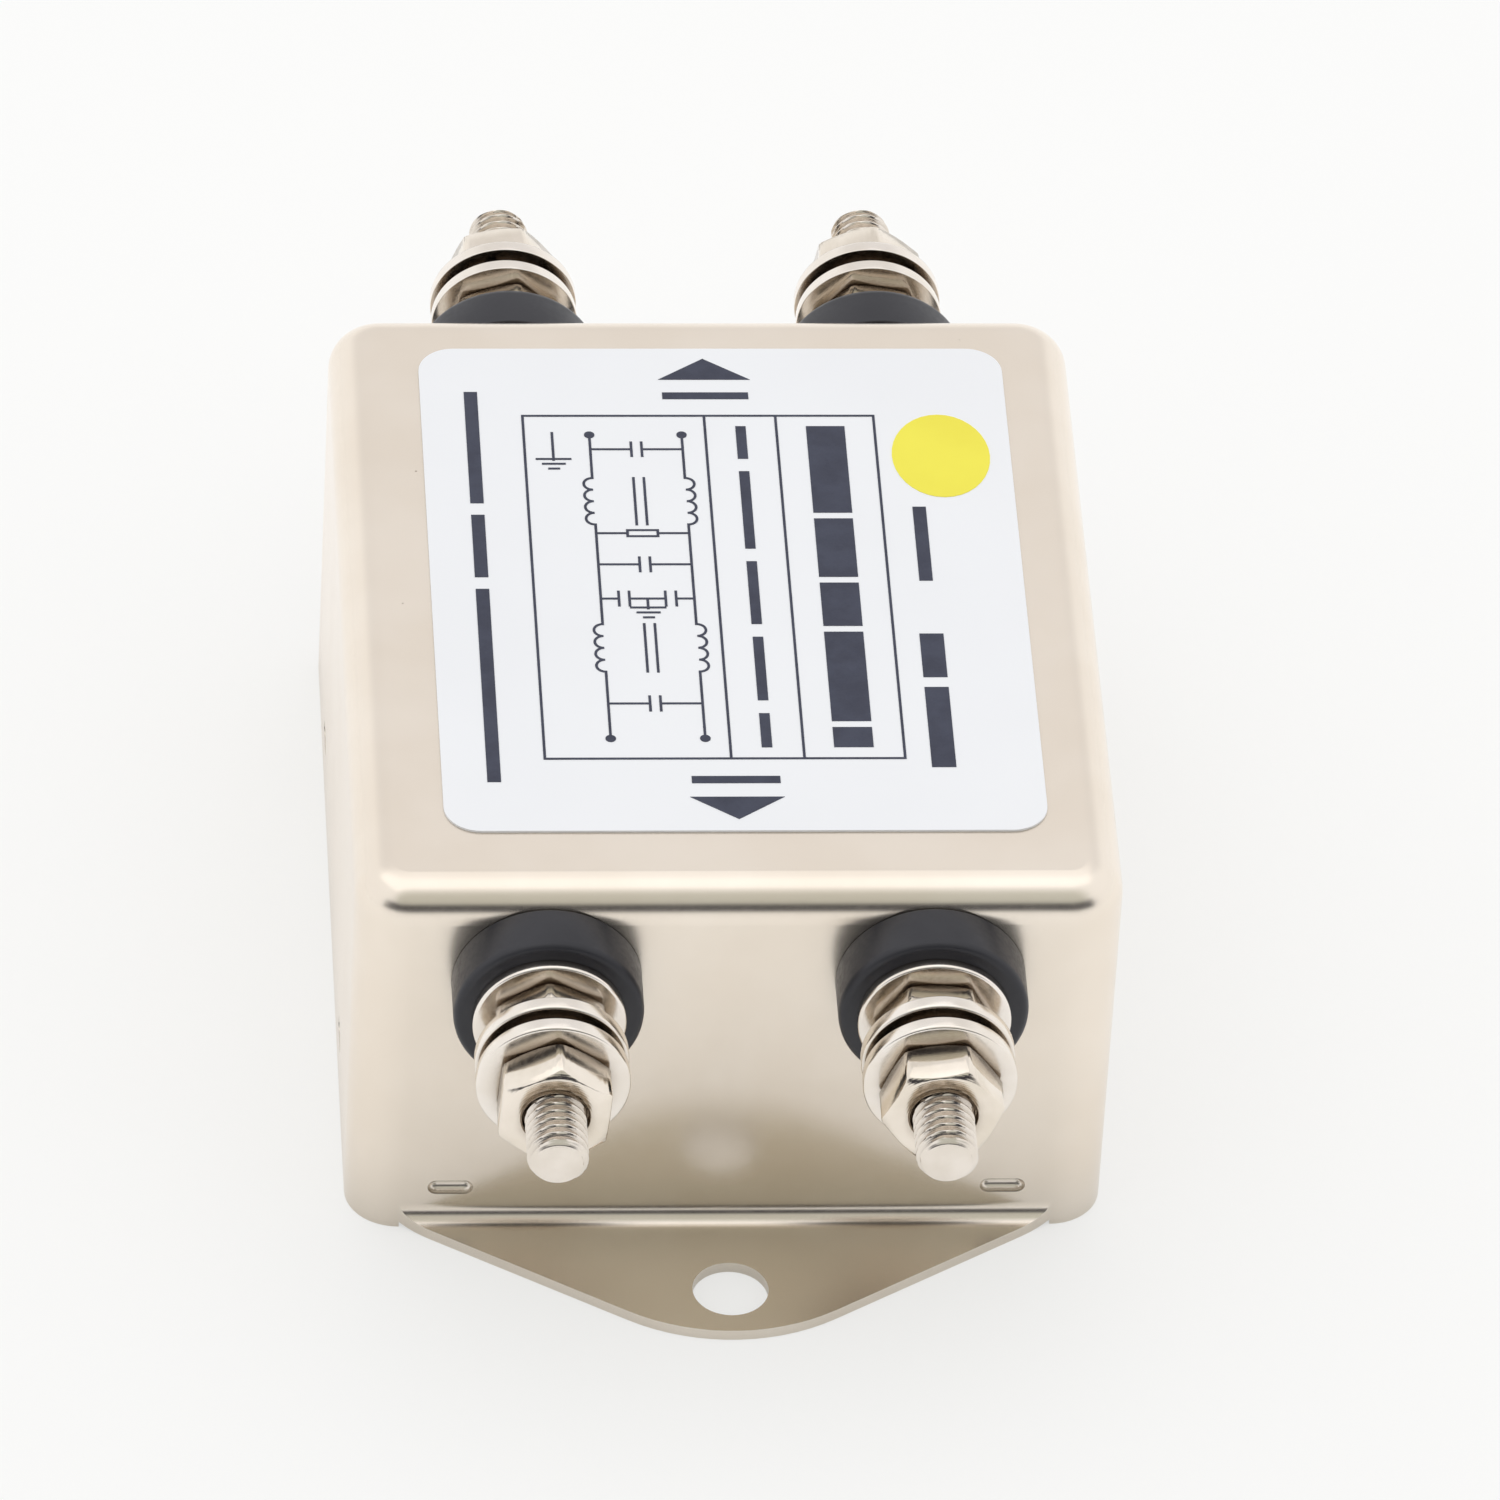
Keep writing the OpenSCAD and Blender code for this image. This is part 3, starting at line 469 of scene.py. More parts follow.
# %% Material helpers
def place_group(tree, group, **values):
    """Places a group with its own values, with _ for a space in their names, and returns its outputs."""
    node = tree.nodes.new("ShaderNodeGroup")
    node.node_tree = group
    for label, value in values.items():
        node.inputs[label.replace("_", " ")].default_value = value
    return node.outputs


def blend_colours(tree, mask, first, second):
    """From the first colour to the second as the mask goes from 0 to 1."""
    node = tree.nodes.new("ShaderNodeMix")
    node.data_type = "RGBA"
    tree.links.new(mask, node.inputs["Factor"])
    for label, colour in (("A", first), ("B", second)):
        socket = [s for s in node.inputs if s.name == label and s.type == "RGBA"][0]
        if isinstance(colour, tuple):
            socket.default_value = (*colour, 1)
        else:
            tree.links.new(colour, socket)
    return [s for s in node.outputs if s.type == "RGBA"][0]


def blend_values(tree, mask, first, second):
    """From the first value to the second as the mask goes from 0 to 1."""
    return map_range(tree, mask, 0.0, 1.0, first, second, smooth=False)


def add_bump(tree, height, depth_mm, normal=None):
    """A normal bent by a height, on top of an earlier normal if there is one."""
    node = tree.nodes.new("ShaderNodeBump")
    node.inputs["Strength"].default_value = 1.0
    node.inputs["Distance"].default_value = depth_mm * MM
    tree.links.new(height, node.inputs["Height"])
    if normal is not None:
        tree.links.new(normal, node.inputs["Normal"])
    return node.outputs["Normal"]


def new_material(name, **settings):
    """A material with one Principled shader; settings are sockets of it, with _ for a space."""
    material = bpy.data.materials.new(name)
    material.use_nodes = True
    shader = material.node_tree.nodes["Principled BSDF"]
    for label, value in settings.items():
        shader.inputs[label.replace("_", " ")].default_value = value
    return material, material.node_tree, shader


print("material helpers: place_group, blend_colours, blend_values, add_bump and new_material")

# %% [markdown]
# ## Nickel plating
# The can is deep-drawn sheet steel with a satin nickel plating: warm, a little uneven, with a very
# fine grain that blurs what it mirrors. The turned parts carry the same plating but brighter. One
# function makes both, because they differ only in tone, gloss, wear, painted shade in corners and how deep
# the grain is.

# %% Plating
# Dark tones for painted shade in corners and gaps, where the shade falls.
BROWN_PAINTED_SHADE, GREY_PAINTED_SHADE = (0.16, 0.11, 0.07), (0.09, 0.13, 0.14)
SPECK_TONE = (0.30, 0.25, 0.20)


def plating(name, bright, dull, gloss, grain_mm, cloud_mm=12.0, lines_mm=0.0, wear=None,
            crevice_shade=0.0, reach_mm=2.0, painted_shade=BROWN_PAINTED_SHADE, specks=0.0):
    """Plated metal. gloss is (shiny, dull) roughness, grain_mm and lines_mm are depths of bumps; corners
    and gaps get painted shade in the given dark tone.
    """
    material, tree, shader = new_material(name, Metallic=1.0)
    grain = place_group(tree, FINE_GRAIN, Grains_per_mm=4.0, Coarse_share=0.5)
    drift = place_group(tree, SLOW_DRIFT, Cloud_size_mm=cloud_mm)
    colour = blend_colours(tree, drift["Mask"], bright, dull)
    rough = blend_values(tree, grain["Mask"], *gloss)
    if wear:
        edge = place_group(tree, WORN_EDGE, Patch_size_mm=1.5)
        colour = blend_colours(tree, edge["Mask"], colour, wear)
    if specks:
        dots = place_group(tree, SPECKS, Spacing_mm=8.0, Size_mm=0.25)
        faint = math_node(tree, "MULTIPLY", dots["Mask"], specks)
        colour = blend_colours(tree, faint, colour, SPECK_TONE)
    # Painted shade: the ambient occlusion mask darkens the colour in corners and gaps.
    if crevice_shade:
        shade_mask = place_group(tree, CREVICE_SHADE, Amount=crevice_shade, Reach_mm=reach_mm)
        colour = blend_colours(tree, shade_mask["Mask"], colour, painted_shade)
    tree.links.new(colour, shader.inputs["Base Color"])
    tree.links.new(rough, shader.inputs["Roughness"])
    normal = add_bump(tree, grain["Height"], grain_mm)
    if lines_mm:
        lines = place_group(tree, TURNED_LINES, Axis_X_mm=axis_x, Axis_Z_mm=axis_z, Lines_per_mm=7.0)
        normal = add_bump(tree, lines["Height"], lines_mm, normal)
    tree.links.new(normal, shader.inputs["Normal"])
    return material


# The two tones printed here are the colours of the painted shade.
print("plating is ready, with the soil tones", BROWN_PAINTED_SHADE, "and", GREY_PAINTED_SHADE)

# %% The metals
materials = {}
# The can gets painted shade with a long reach, which darkens the ears and the foot of the wall above them.
materials["nickel_can"] = plating("satin nickel can", (0.81, 0.735, 0.64), (0.78, 0.70, 0.60),
                                  gloss=(0.23, 0.255), grain_mm=0.0005, cloud_mm=9.0,
                                  wear=(0.86, 0.80, 0.72), crevice_shade=0.32, reach_mm=14.0,
                                  painted_shade=GREY_PAINTED_SHADE, specks=0.8)
materials["steel_plate"] = plating("satin nickel plate", (0.74, 0.68, 0.60), (0.68, 0.62, 0.54),
                                   gloss=(0.28, 0.36), grain_mm=0.003)
# The turned parts get painted shade with a short reach, which darkens the gaps between nuts, washers and
# studs.
materials["bright_washer"] = plating("bright nickel washer", (0.82, 0.77, 0.71), (0.77, 0.71, 0.63),
                                     gloss=(0.14, 0.22), grain_mm=0.002, cloud_mm=4.0,
                                     wear=(0.88, 0.84, 0.78), crevice_shade=0.75)
materials["bright_nut"] = plating("bright nickel nut", (0.80, 0.73, 0.64), (0.72, 0.65, 0.55),
                                  gloss=(0.10, 0.18), grain_mm=0.002, cloud_mm=3.0, lines_mm=0.002,
                                  wear=(0.88, 0.83, 0.76), crevice_shade=0.8)
materials["stud_steel"] = plating("bright nickel stud", (0.78, 0.72, 0.65), (0.70, 0.64, 0.56),
                                  gloss=(0.14, 0.24), grain_mm=0.003, cloud_mm=3.0, lines_mm=0.003,
                                  crevice_shade=0.5)
materials["spring_steel"] = plating("spring steel", (0.72, 0.67, 0.60), (0.64, 0.59, 0.52),
                                    gloss=(0.20, 0.27), grain_mm=0.003, cloud_mm=3.0, crevice_shade=0.45)
materials["tinned_strap"] = plating("tinned strap", (0.74, 0.72, 0.68), (0.66, 0.64, 0.60),
                                    gloss=(0.28, 0.42), grain_mm=0.006, cloud_mm=5.0)
materials["solder"] = plating("solder", (0.70, 0.71, 0.72), (0.58, 0.59, 0.61),
                              gloss=(0.18, 0.36), grain_mm=0.01, cloud_mm=1.5)
print("metals:", ", ".join(materials))

# %% [markdown]
# ## Plastics, lacquers and print
# The bushes are black moulded nylon with a faint skin. The label is a glossy white film, its print
# a thin layer of ink. Inside there are lacquered parts nobody sees until the can is opened, and they
# get the same care: a slow drift of tone and a fine skin, with their own colours and gloss.

# %% Plastics
def plastic(name, light, dark, gloss, grain_mm, grains=3.0, cloud_mm=8.0, coat=0.0, wear=None,
            shine=0.5):
    """Dielectric finish with a drifting tone, a skin and, for lacquer, a clear coat."""
    material, tree, shader = new_material(name, Metallic=0.0, Specular_IOR_Level=shine,
                                          Coat_Weight=coat, Coat_Roughness=0.08)
    grain = place_group(tree, FINE_GRAIN, Grains_per_mm=grains, Coarse_share=0.4)
    drift = place_group(tree, SLOW_DRIFT, Cloud_size_mm=cloud_mm)
    colour = blend_colours(tree, drift["Mask"], light, dark)
    if wear:
        edge = place_group(tree, WORN_EDGE, Patch_size_mm=2.0)
        colour = blend_colours(tree, edge["Mask"], colour, wear)
    tree.links.new(colour, shader.inputs["Base Color"])
    tree.links.new(blend_values(tree, grain["Mask"], *gloss), shader.inputs["Roughness"])
    tree.links.new(add_bump(tree, grain["Height"], grain_mm), shader.inputs["Normal"])
    return material


print("plastic shares", FINE_GRAIN.name, "and", SLOW_DRIFT.name, "with the metals")

# %% The plastics
metal_count = len(materials)
materials["black_plastic"] = plastic("black nylon", (0.030, 0.030, 0.036), (0.020, 0.020, 0.025),
                                     gloss=(0.30, 0.42), grain_mm=0.006, wear=(0.045, 0.045, 0.052),
                                     shine=0.36)
materials["white_film"] = plastic("label film", (0.85, 0.86, 0.88), (0.83, 0.84, 0.86),
                                  gloss=(0.30, 0.36), grain_mm=0.001, cloud_mm=20.0)
materials["dark_print"] = plastic("dark print", (0.016, 0.020, 0.045), (0.028, 0.034, 0.065),
                                  gloss=(0.36, 0.5), grain_mm=0.002, grains=8.0, cloud_mm=2.0)
materials["yellow_print"] = plastic("yellow print", (0.88, 0.80, 0.06), (0.84, 0.75, 0.05),
                                    gloss=(0.34, 0.44), grain_mm=0.002, grains=8.0)
materials["tray_film"] = plastic("tray film", (0.72, 0.66, 0.46), (0.64, 0.58, 0.39),
                                 gloss=(0.3, 0.42), grain_mm=0.004, cloud_mm=15.0)
materials["pale_plastic"] = plastic("natural nylon", (0.76, 0.74, 0.66), (0.68, 0.66, 0.58),
                                    gloss=(0.38, 0.5), grain_mm=0.006)
materials["core_case"] = plastic("core case", (0.03, 0.17, 0.08), (0.02, 0.13, 0.06),
                                 gloss=(0.34, 0.46), grain_mm=0.008)
materials["box_capacitor"] = plastic("box capacitor", (0.62, 0.40, 0.05), (0.56, 0.35, 0.04),
                                     gloss=(0.36, 0.48), grain_mm=0.008)
materials["disc_capacitor"] = plastic("disc capacitor", (0.03, 0.10, 0.36), (0.02, 0.08, 0.30),
                                      gloss=(0.2, 0.3), grain_mm=0.02, grains=0.8, coat=0.6)
materials["resistor_body"] = plastic("resistor lacquer", (0.56, 0.42, 0.22), (0.50, 0.36, 0.18),
                                     gloss=(0.3, 0.42), grain_mm=0.01, coat=0.3)
materials["board_laminate"] = plastic("board lacquer", (0.03, 0.19, 0.06), (0.02, 0.15, 0.05),
                                      gloss=(0.22, 0.34), grain_mm=0.004, coat=0.5)
print("plastics:", ", ".join(list(materials)[metal_count:]))

# %% [markdown]
# ## Enamelled wire
# Winding wire is copper under a thin hard enamel. The copper is a metal with a drifting tone, and
# the shader's clear coat stands for the enamel, so the wire keeps a sharp shine over a duller one.

# %% Enamelled wire
def enamelled_wire():
    """Copper under a clear enamel: a metal with a coat over it."""
    material, tree, shader = new_material("enamelled wire", Metallic=1.0,
                                          Coat_Weight=1.0, Coat_Roughness=0.05)
    grain = place_group(tree, FINE_GRAIN, Grains_per_mm=3.0, Coarse_share=0.4)
    drift = place_group(tree, SLOW_DRIFT, Cloud_size_mm=6.0)
    copper = blend_colours(tree, drift["Mask"], (0.62, 0.20, 0.06), (0.52, 0.15, 0.04))
    tree.links.new(copper, shader.inputs["Base Color"])
    tree.links.new(blend_values(tree, grain["Mask"], 0.22, 0.34), shader.inputs["Roughness"])
    tree.links.new(add_bump(tree, grain["Height"], 0.003), shader.inputs["Normal"])
    return material


materials["enamelled_wire"] = enamelled_wire()
print("finishes in all:", len(materials))

# %% [markdown]
# ## Finishes on the carried-over solids
# The record already says which slot each node belongs to, so one loop dresses every solid. Parts
# that get a finer mesh below use the same table, and nothing is left with a plain colour.

# %% Dress the solids
slot_of = {part["node"]: part["material_slot"] for part in frame["record"]["subparts"]}
for name, solid in nodes.items():
    solid.material_slots[0].material = materials[slot_of[name]]
print("dressed", len(nodes), "solids with", len(set(slot_of.values())), "finishes")

# %% [markdown]
# ## Pressed edges
# No pressed edge is perfectly sharp, and a sharp one catches no light. A bevel modifier eases the
# can's edges without touching its mesh, and leaves the rounded stretches alone by their angle.

# %% Soften the can's pressed edges
crease = nodes["can_shell"].modifiers.new("soft edge", "BEVEL")
crease.width = SOFT_EDGE
crease.segments = 2
crease.limit_method = "ANGLE"
crease.angle_limit = math.radians(50)
print("can: edges sharper than", round(math.degrees(crease.angle_limit)), "degrees are eased by",
      round(crease.width / MM, 2), "mm")

# %% [markdown]
# ## Studs with real threads
# A rolled M4 thread is a ridge that climbs 0.7 mm a turn. A bump map would leave a smooth outline,
# so the ridge is geometry: the radius at each point depends on how far along and how far round it
# is. Rings follow each other closely enough for the ridge to look round, and the tip is chamfered.

# %% Thread
STUD_R, PITCH, THREAD_DEPTH = 2.0, 0.7, 0.41
CREST_SHARE, FLANK_SHARE, ROUNDING = 0.14, 0.66, 0.35


def thread_radius(along, angle):
    """Radius of the thread: a narrow flat crest, nearly straight flanks and a flat root."""
    turn_share = (along / PITCH - angle / (2 * math.pi)) % 1.0
    from_crest = abs(turn_share - 0.5) * 2
    fall = min(max((from_crest - CREST_SHARE) / FLANK_SHARE, 0.0), 1.0)
    eased = fall * fall * (3 - 2 * fall)
    return STUD_R - THREAD_DEPTH * (eased * ROUNDING + fall * (1 - ROUNDING))


print("thread radius from", round(STUD_R - THREAD_DEPTH, 2), "to", STUD_R, "mm")

# %% Stud shape
TIP_CHAMFER, TIP_EDGE, TIP_FACE = 0.45, 0.06, 0.93
THREAD_SIDES, RINGS_PER_PITCH = 56, 10
SHANK_STEP, RUN_IN = 0.3, 0.8


def threaded_stud(start, thread_start, end):
    """Shank from start, thread from thread_start, chamfered tip at end."""
    angles = [2 * math.pi * k / THREAD_SIDES for k in range(THREAD_SIDES)]
    count = round((end - thread_start) / PITCH * RINGS_PER_PITCH)
    levels = [start, thread_start - SHANK_STEP]
    levels += [thread_start + (end - thread_start) * i / count for i in range(count + 1)]
    rings = []
    for level in levels:
        limit = min(STUD_R, STUD_R - TIP_CHAMFER + (end - level))
        grow = min(max((level - thread_start) / RUN_IN, 0.0), 1.0)
        radii = [min(limit, STUD_R + (thread_radius(level, a) - STUD_R) * grow) for a in angles]
        rings.append([Vector((r * math.cos(a), r * math.sin(a), level)) for r, a in zip(radii, angles)])
    inset = [Vector((p.x * TIP_FACE, p.y * TIP_FACE, end)) for p in rings[-1]]
    rings[-1] = [Vector((p.x, p.y, end - TIP_EDGE)) for p in rings[-1]]
    return skin(rings + [inset], closed=False)


print("a ring of", THREAD_SIDES, "points every", round(PITCH / RINGS_PER_PITCH, 3), "mm of thread")

# %% [markdown]
# ## Nuts
# A hexagon nut is a bar with six flats whose corners are turned off at about thirty degrees on both
# faces, which leaves the curved edges that catch the light. The same ring idea works: each ring
# follows the hexagon, and its height at a corner is lowered by how far that corner stands out.

# %% Hexagon ring
HEX_AF, CORNER_CUT = 7.0, 0.07
SIDE_ANGLES = (-30, -28.6, -25, -19, -10, 0, 10, 19, 25, 28.6)


def hex_ring(across_flats):
    """(angle, radius) round a hexagon with slightly blunted corners."""
    ring = []
    for side in range(6):
        for a in SIDE_ANGLES:
            r = across_flats / 2 / math.cos(math.radians(a))
            blunt = CORNER_CUT if abs(a) == 30 else 0.0
            ring.append((math.radians(60 * side + a + 30), r - blunt))
    return ring


print("hexagon", HEX_AF, "mm across its flats,", len(hex_ring(HEX_AF)), "points round")

# %% Nut shape
FACE_SHARE, CHAMFER_SLOPE, NUT_EDGE = 0.965, math.tan(math.radians(30)), 0.05
RIM_EASE, MOUTH_EASE = 0.02, 0.03


def hex_prism(thick, bore=None, mouth=None):
    """Hexagon with turned-off corners; with a bore and a countersunk mouth it is a nut."""
    ring = hex_ring(HEX_AF)
    face_r = HEX_AF / 2 * FACE_SHARE

    def level(radius_of, height_of):
        """One ring, whose radius and height follow the hexagon's own radius r."""
        sizes = [(a, radius_of(r), height_of(r)) for a, r in ring]
        return [Vector((out * math.cos(a), out * math.sin(a), height)) for a, out, height in sizes]

    def drop(r):
        """How far the chamfer has come down at radius r."""
        return max(r - face_r, 0.0) * CHAMFER_SLOPE

    lower = [level(lambda r: face_r - NUT_EDGE, lambda r: 0.0),
             level(lambda r: face_r + RIM_EASE, lambda r: RIM_EASE),
             level(lambda r: r - NUT_EDGE, lambda r: drop(r) - NUT_EDGE * CHAMFER_SLOPE + RIM_EASE / 2),
             level(lambda r: r, lambda r: drop(r) + NUT_EDGE)]
    upper = [[Vector((p.x, p.y, thick - p.z)) for p in one] for one in reversed(lower)]
    if bore is None:
        return skin(lower + upper, closed=False)
    depth = mouth - bore
    inside_low = [level(lambda r: bore, lambda r: depth),
                  level(lambda r: mouth - MOUTH_EASE, lambda r: MOUTH_EASE),
                  level(lambda r: mouth + MOUTH_EASE, lambda r: 0.0)]
    inside_high = [[Vector((p.x, p.y, thick - p.z)) for p in one] for one in reversed(inside_low)]
    return skin(inside_low + lower + upper + inside_high, closed=True)


print("the chamfer starts", round(HEX_AF / 2 * FACE_SHARE, 2), "mm from the nut's axis")

# %% [markdown]
# ## Studs on their places
# A stud is a hexagon head inside the can, a shank through the bush and a thread outside. The shank
# starts inside the head, so the two shapes overlap and leave no gap, and the thread starts just
# past the bush.

# %% Studs on their places
HEAD_H, SHANK_IN_HEAD, PLAIN_PAST_BUSH = 2.4, 0.4, 0.2
head_base = near_face("stud_line_right") - wall_y
for place in PLACES:
    shank = threaded_stud(head_base + HEAD_H - SHANK_IN_HEAD, reach["bush_line_right"] + PLAIN_PAST_BUSH,
                          stud_reach)
    head = moved(hex_prism(HEAD_H), Matrix.Translation((0, 0, head_base)))
    make_piece("threaded_stud_" + place, moved(joined(head, shank), at_terminal(place)),
               materials["stud_steel"], ["stud_" + place])

# %% [markdown]
# ## Nuts on the studs
# A locking nut holds the stud in its bush, and a clamping nut presses the cable's lug down. Each
# stopped at its own angle when it was tightened, and the turns match the solids.

# %% Nuts
CORNER_UP = 90
LOCK_TURNS = {"load_left": CORNER_UP + 2, "load_right": CORNER_UP + 27,
              "line_left": CORNER_UP + 12, "line_right": CORNER_UP + 41}
CLAMP_TURNS = {"load_left": CORNER_UP - 4, "load_right": CORNER_UP + 37,
               "line_left": CORNER_UP + 20, "line_right": CORNER_UP + 8}
BORE, MOUTH = 1.78, 2.25


def put_on_studs(name, node, shape, start, turns, material):
    """One piece of four like parts, each start millimetres out from its wall and turned as given."""
    parts = [moved(shape, at_terminal(place, start, turns[place] if turns else 0)) for place in PLACES]
    return make_piece(name, joined(*parts), material, [node])


lock_nut = hex_prism(reach["lock_nuts"] - reach["bush_washers"], BORE, MOUTH)
clamp_nut = hex_prism(reach["clamp_nuts"] - reach["clamp_washers"], BORE, MOUTH)
put_on_studs("lock_nut_set", "lock_nuts", lock_nut, reach["bush_washers"], LOCK_TURNS,
             materials["bright_nut"])
put_on_studs("clamp_nut_set", "clamp_nuts", clamp_nut, reach["clamp_washers"], CLAMP_TURNS,
             materials["bright_nut"])

# %% [markdown]
# ## Flat washers
# A washer is stamped from sheet, which draws one edge round and leaves the other crisp. The outline
# gives each corner its own radius, so one side of the washer is softer than the other.

# %% Washers
WASHER_R, WASHER_BORE = 5.0, 2.15
CRISP, BORE_EASE, DRAWN = 0.05, 0.12, 0.22


def washer(thick):
    """Flat ring, crisp below and rounded above."""
    outline = [(WASHER_BORE, 0), (WASHER_R, 0), (WASHER_R, thick, DRAWN), (WASHER_BORE, thick, BORE_EASE)]
    return lathe(soften(outline, CRISP))


for name, node, before in (("bush_washer_set", "bush_washers", "bush_line_right"),
                           ("lug_washer_set", "lug_washers", "lock_nuts"),
                           ("clamp_washer_set", "clamp_washers", "spring_washers")):
    put_on_studs(name, node, washer(reach[node] - reach[before]), reach[before], None,
                 materials["bright_washer"])

# %% [markdown]
# ## Spring washers
# A spring washer is a split ring whose two ends stand a little apart, so it is a thick coil of just
# under one turn. Carrying one softened section round, a little higher at each step, makes it.

# %% Spring washers
SPRING_R, SPRING_BORE, SPRING_GAP = 3.5, 2.15, 14
SPRING_EDGE, CLIMB_SHARE, SPRING_STEPS = 0.12, 0.12, 72
SPRING_TURNS = {"load_left": 200, "load_right": 160, "line_left": 75, "line_right": 290}


def spring_washer(room):
    """Split ring, flattened almost shut: its section climbs a little from one end to the other."""
    climb = CLIMB_SHARE * room
    thick = room - climb
    corners = [(SPRING_BORE, 0), (SPRING_R, 0), (SPRING_R, thick), (SPRING_BORE, thick)]
    outline = soften(corners, SPRING_EDGE)
    sections = []
    for k in range(SPRING_STEPS + 1):
        share = k / SPRING_STEPS
        a = math.radians(SPRING_GAP / 2 + (360 - SPRING_GAP) * share)
        sections.append([Vector((p[0] * math.cos(a), p[0] * math.sin(a), p[1] + climb * share))
                         for p in outline])
    return skin(sections, closed=False)


split_ring = spring_washer(reach["spring_washers"] - reach["lug_washers"])
put_on_studs("spring_washer_set", "spring_washers", split_ring, reach["lug_washers"], SPRING_TURNS,
             materials["spring_steel"])

# %% [markdown]
# ## Insulating bushes
# Each bush is a moulded flange with a neck that fills the hole in the wall. Its outer edge is well
# rounded, so that it leaves the mould easily. A turned outline gives the flange, its rounded edge
# and the neck in one closed piece.

# %% Bushes
BUSH_R, NECK_R, BUSH_BORE = 6.2, 4.2, 2.1
BUSH_EDGE, SMALL_EDGE, NECK_CORNER, EDGE_STEPS = 0.55, 0.1, 0.01, 4
neck_end = wall_y - near_face("bush_line_right")
flange = reach["bush_line_right"]
bush_outline = [(BUSH_BORE, -neck_end), (NECK_R, -neck_end), (NECK_R, 0, NECK_CORNER), (BUSH_R, 0),
                (BUSH_R, flange, BUSH_EDGE), (BUSH_BORE, flange)]
bush = lathe(soften(bush_outline, SMALL_EDGE, EDGE_STEPS))
for place in PLACES:
    make_piece("bush_" + place + "_moulded", moved(bush, at_terminal(place)),
               materials["black_plastic"], ["bush_" + place])

# %% [markdown]
# ## Floor
# The floor is plain and pale. Its paint is white to the light that bounces, so the metal above it is
# lit as over a real table. To the camera it is a greyer paint with a glow, which stays just below
# white and keeps the object's soft shadow. Reflections see the white paint and a little glow.

# %% Floor
FLOOR_BACK, FLOOR_FRONT, FLOOR_SIDE = 1.5, 1.2, 1.2
WHITE_PAINT, SEEN_PAINT = (0.90, 0.90, 0.90), (0.35, 0.35, 0.35)
NO_GLOW, MIRRORED_GLOW, SEEN_GLOW = (0.0, 0.0, 0.0), (0.18, 0.18, 0.18), (0.585, 0.585, 0.575)
floor_mesh = bpy.data.meshes.new("floor")
corners = [(-FLOOR_SIDE, -FLOOR_FRONT, 0), (FLOOR_SIDE, -FLOOR_FRONT, 0), (FLOOR_SIDE, FLOOR_BACK, 0),
           (-FLOOR_SIDE, FLOOR_BACK, 0)]
floor_mesh.from_pydata(corners, [], [(0, 1, 2, 3)])
floor = bpy.data.objects.new("floor", floor_mesh)
floor.location.z = cad_box[0][2]
bpy.context.scene.collection.objects.link(floor)
floor_paint, floor_tree, floor_shader = new_material("pale floor", Roughness=0.8)
path = floor_tree.nodes.new("ShaderNodeLightPath")
mirrored = blend_colours(floor_tree, path.outputs["Is Glossy Ray"], NO_GLOW, MIRRORED_GLOW)
glow = blend_colours(floor_tree, path.outputs["Is Camera Ray"], mirrored, SEEN_GLOW)
floor_tree.links.new(glow, floor_shader.inputs["Emission Color"])
paint = blend_colours(floor_tree, path.outputs["Is Camera Ray"], WHITE_PAINT, SEEN_PAINT)
floor_tree.links.new(paint, floor_shader.inputs["Base Color"])
floor_shader.inputs["Emission Strength"].default_value = 1.0
floor_mesh.materials.append(floor_paint)
print("floor at z", round(floor.location.z, 5))

# %% [markdown]
# ## Lamp
# One broad lamp hangs over the object and a little behind it. It is faint, because most of the light
# comes from the surroundings, and it gives the shadow its direction and the top edges their gleam.

# %% Lamp
LAMP_SIZE, LAMP_WATTS, LAMP_PLACE = (1.6, 1.3), 1.9, (-0.1, 0.25, 1.3)
lamp_data = bpy.data.lights.new("overhead", "AREA")
lamp_data.shape = "RECTANGLE"
lamp_data.size, lamp_data.size_y = LAMP_SIZE
lamp_data.energy = LAMP_WATTS
lamp = bpy.data.objects.new("overhead", lamp_data)
lamp.location = LAMP_PLACE
lamp.rotation_euler = (Vector((0, 0, 0)) - lamp.location).to_track_quat("-Z", "Y").to_euler()
bpy.context.scene.collection.objects.link(lamp)
print("lamp", lamp_data.energy, "W, size", lamp_data.size, "x", lamp_data.size_y, "m")

# %% [markdown]
# ## Surroundings
# Metal shows its surroundings more than its own colour. The world is bright all round, a little less
# so beyond the object, where the top face looks. In front it is dimmer, as where a viewer stands, with
# a dark strip low down in that part, and this dim side is what draws the edges of the plating.

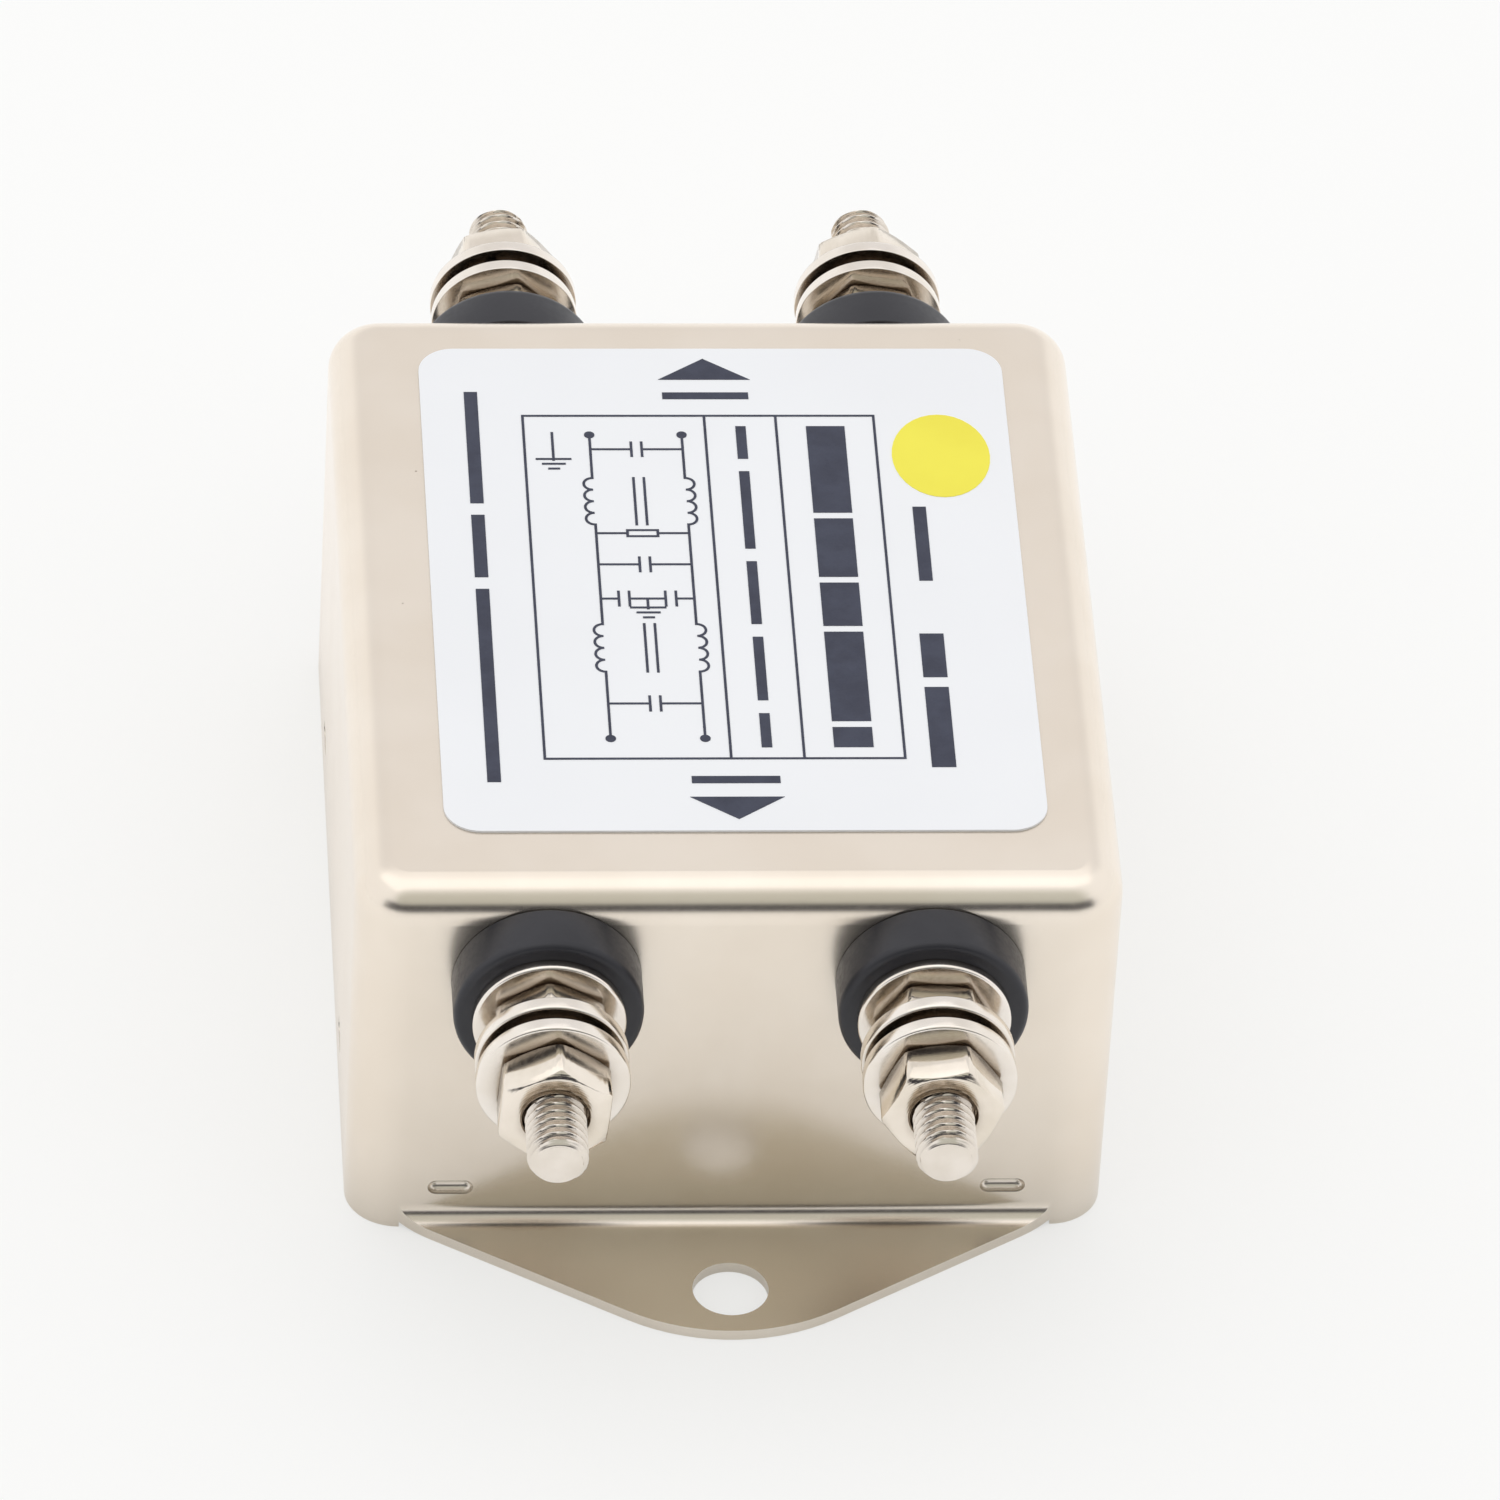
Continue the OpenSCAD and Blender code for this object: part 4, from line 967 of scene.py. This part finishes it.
# %% World
ROOM, FAR_WALL = (1.10, 1.10, 1.11), (0.93, 0.92, 0.93)
VIEWER, SLEEVE, BACKDROP = (0.66, 0.67, 0.62), (0.05, 0.05, 0.06), (0.97, 0.97, 0.97)
VIEWER_SIDE = Vector((0.05, -0.80, 0.60)).normalized()
FAR_SIDE = Vector((0.07, 0.75, 0.65)).normalized()
FAR_FADE, VIEWER_FADE = (0.80, 0.95), (0.76, 0.95)
STRIP_FRONT, STRIP_TOP, STRIP_FOOT = (0.45, 0.75), (0.56, 0.40), (0.02, 0.16)


def build_world():
    """Bright all round, with two soft patches, and a dark strip low down in front."""
    world = bpy.data.worlds.new("studio")
    bpy.context.scene.world = world
    world.use_nodes = True
    tree = world.node_tree
    direction = tree.nodes.new("ShaderNodeTexCoord").outputs["Generated"]
    split = tree.nodes.new("ShaderNodeSeparateXYZ")
    tree.links.new(direction, split.inputs[0])

    def patch(middle, fade):
        """Mask of a round patch about one direction; fade holds the cosines at its rim and at full."""
        toward = tree.nodes.new("ShaderNodeVectorMath")
        toward.operation = "DOT_PRODUCT"
        tree.links.new(direction, toward.inputs[0])
        toward.inputs[1].default_value = middle
        return map_range(tree, toward.outputs["Value"], *fade)

    far = patch(FAR_SIDE, FAR_FADE)
    viewer = patch(VIEWER_SIDE, VIEWER_FADE)
    in_front = map_range(tree, math_node(tree, "MULTIPLY", split.outputs["Y"], -1.0), *STRIP_FRONT)
    below = map_range(tree, split.outputs["Z"], *STRIP_TOP)
    above = map_range(tree, split.outputs["Z"], *STRIP_FOOT)
    strip = math_node(tree, "MULTIPLY", in_front, math_node(tree, "MULTIPLY", below, above))
    colour = blend_colours(tree, far, ROOM, FAR_WALL)
    colour = blend_colours(tree, viewer, colour, VIEWER)
    colour = blend_colours(tree, strip, colour, SLEEVE)
    seen = tree.nodes.new("ShaderNodeLightPath").outputs["Is Camera Ray"]
    shown = blend_colours(tree, seen, colour, BACKDROP)
    tree.links.new(shown, tree.nodes["Background"].inputs["Color"])
    tree.nodes["Background"].inputs["Strength"].default_value = 1.0
    return world


print("world:", build_world().name)
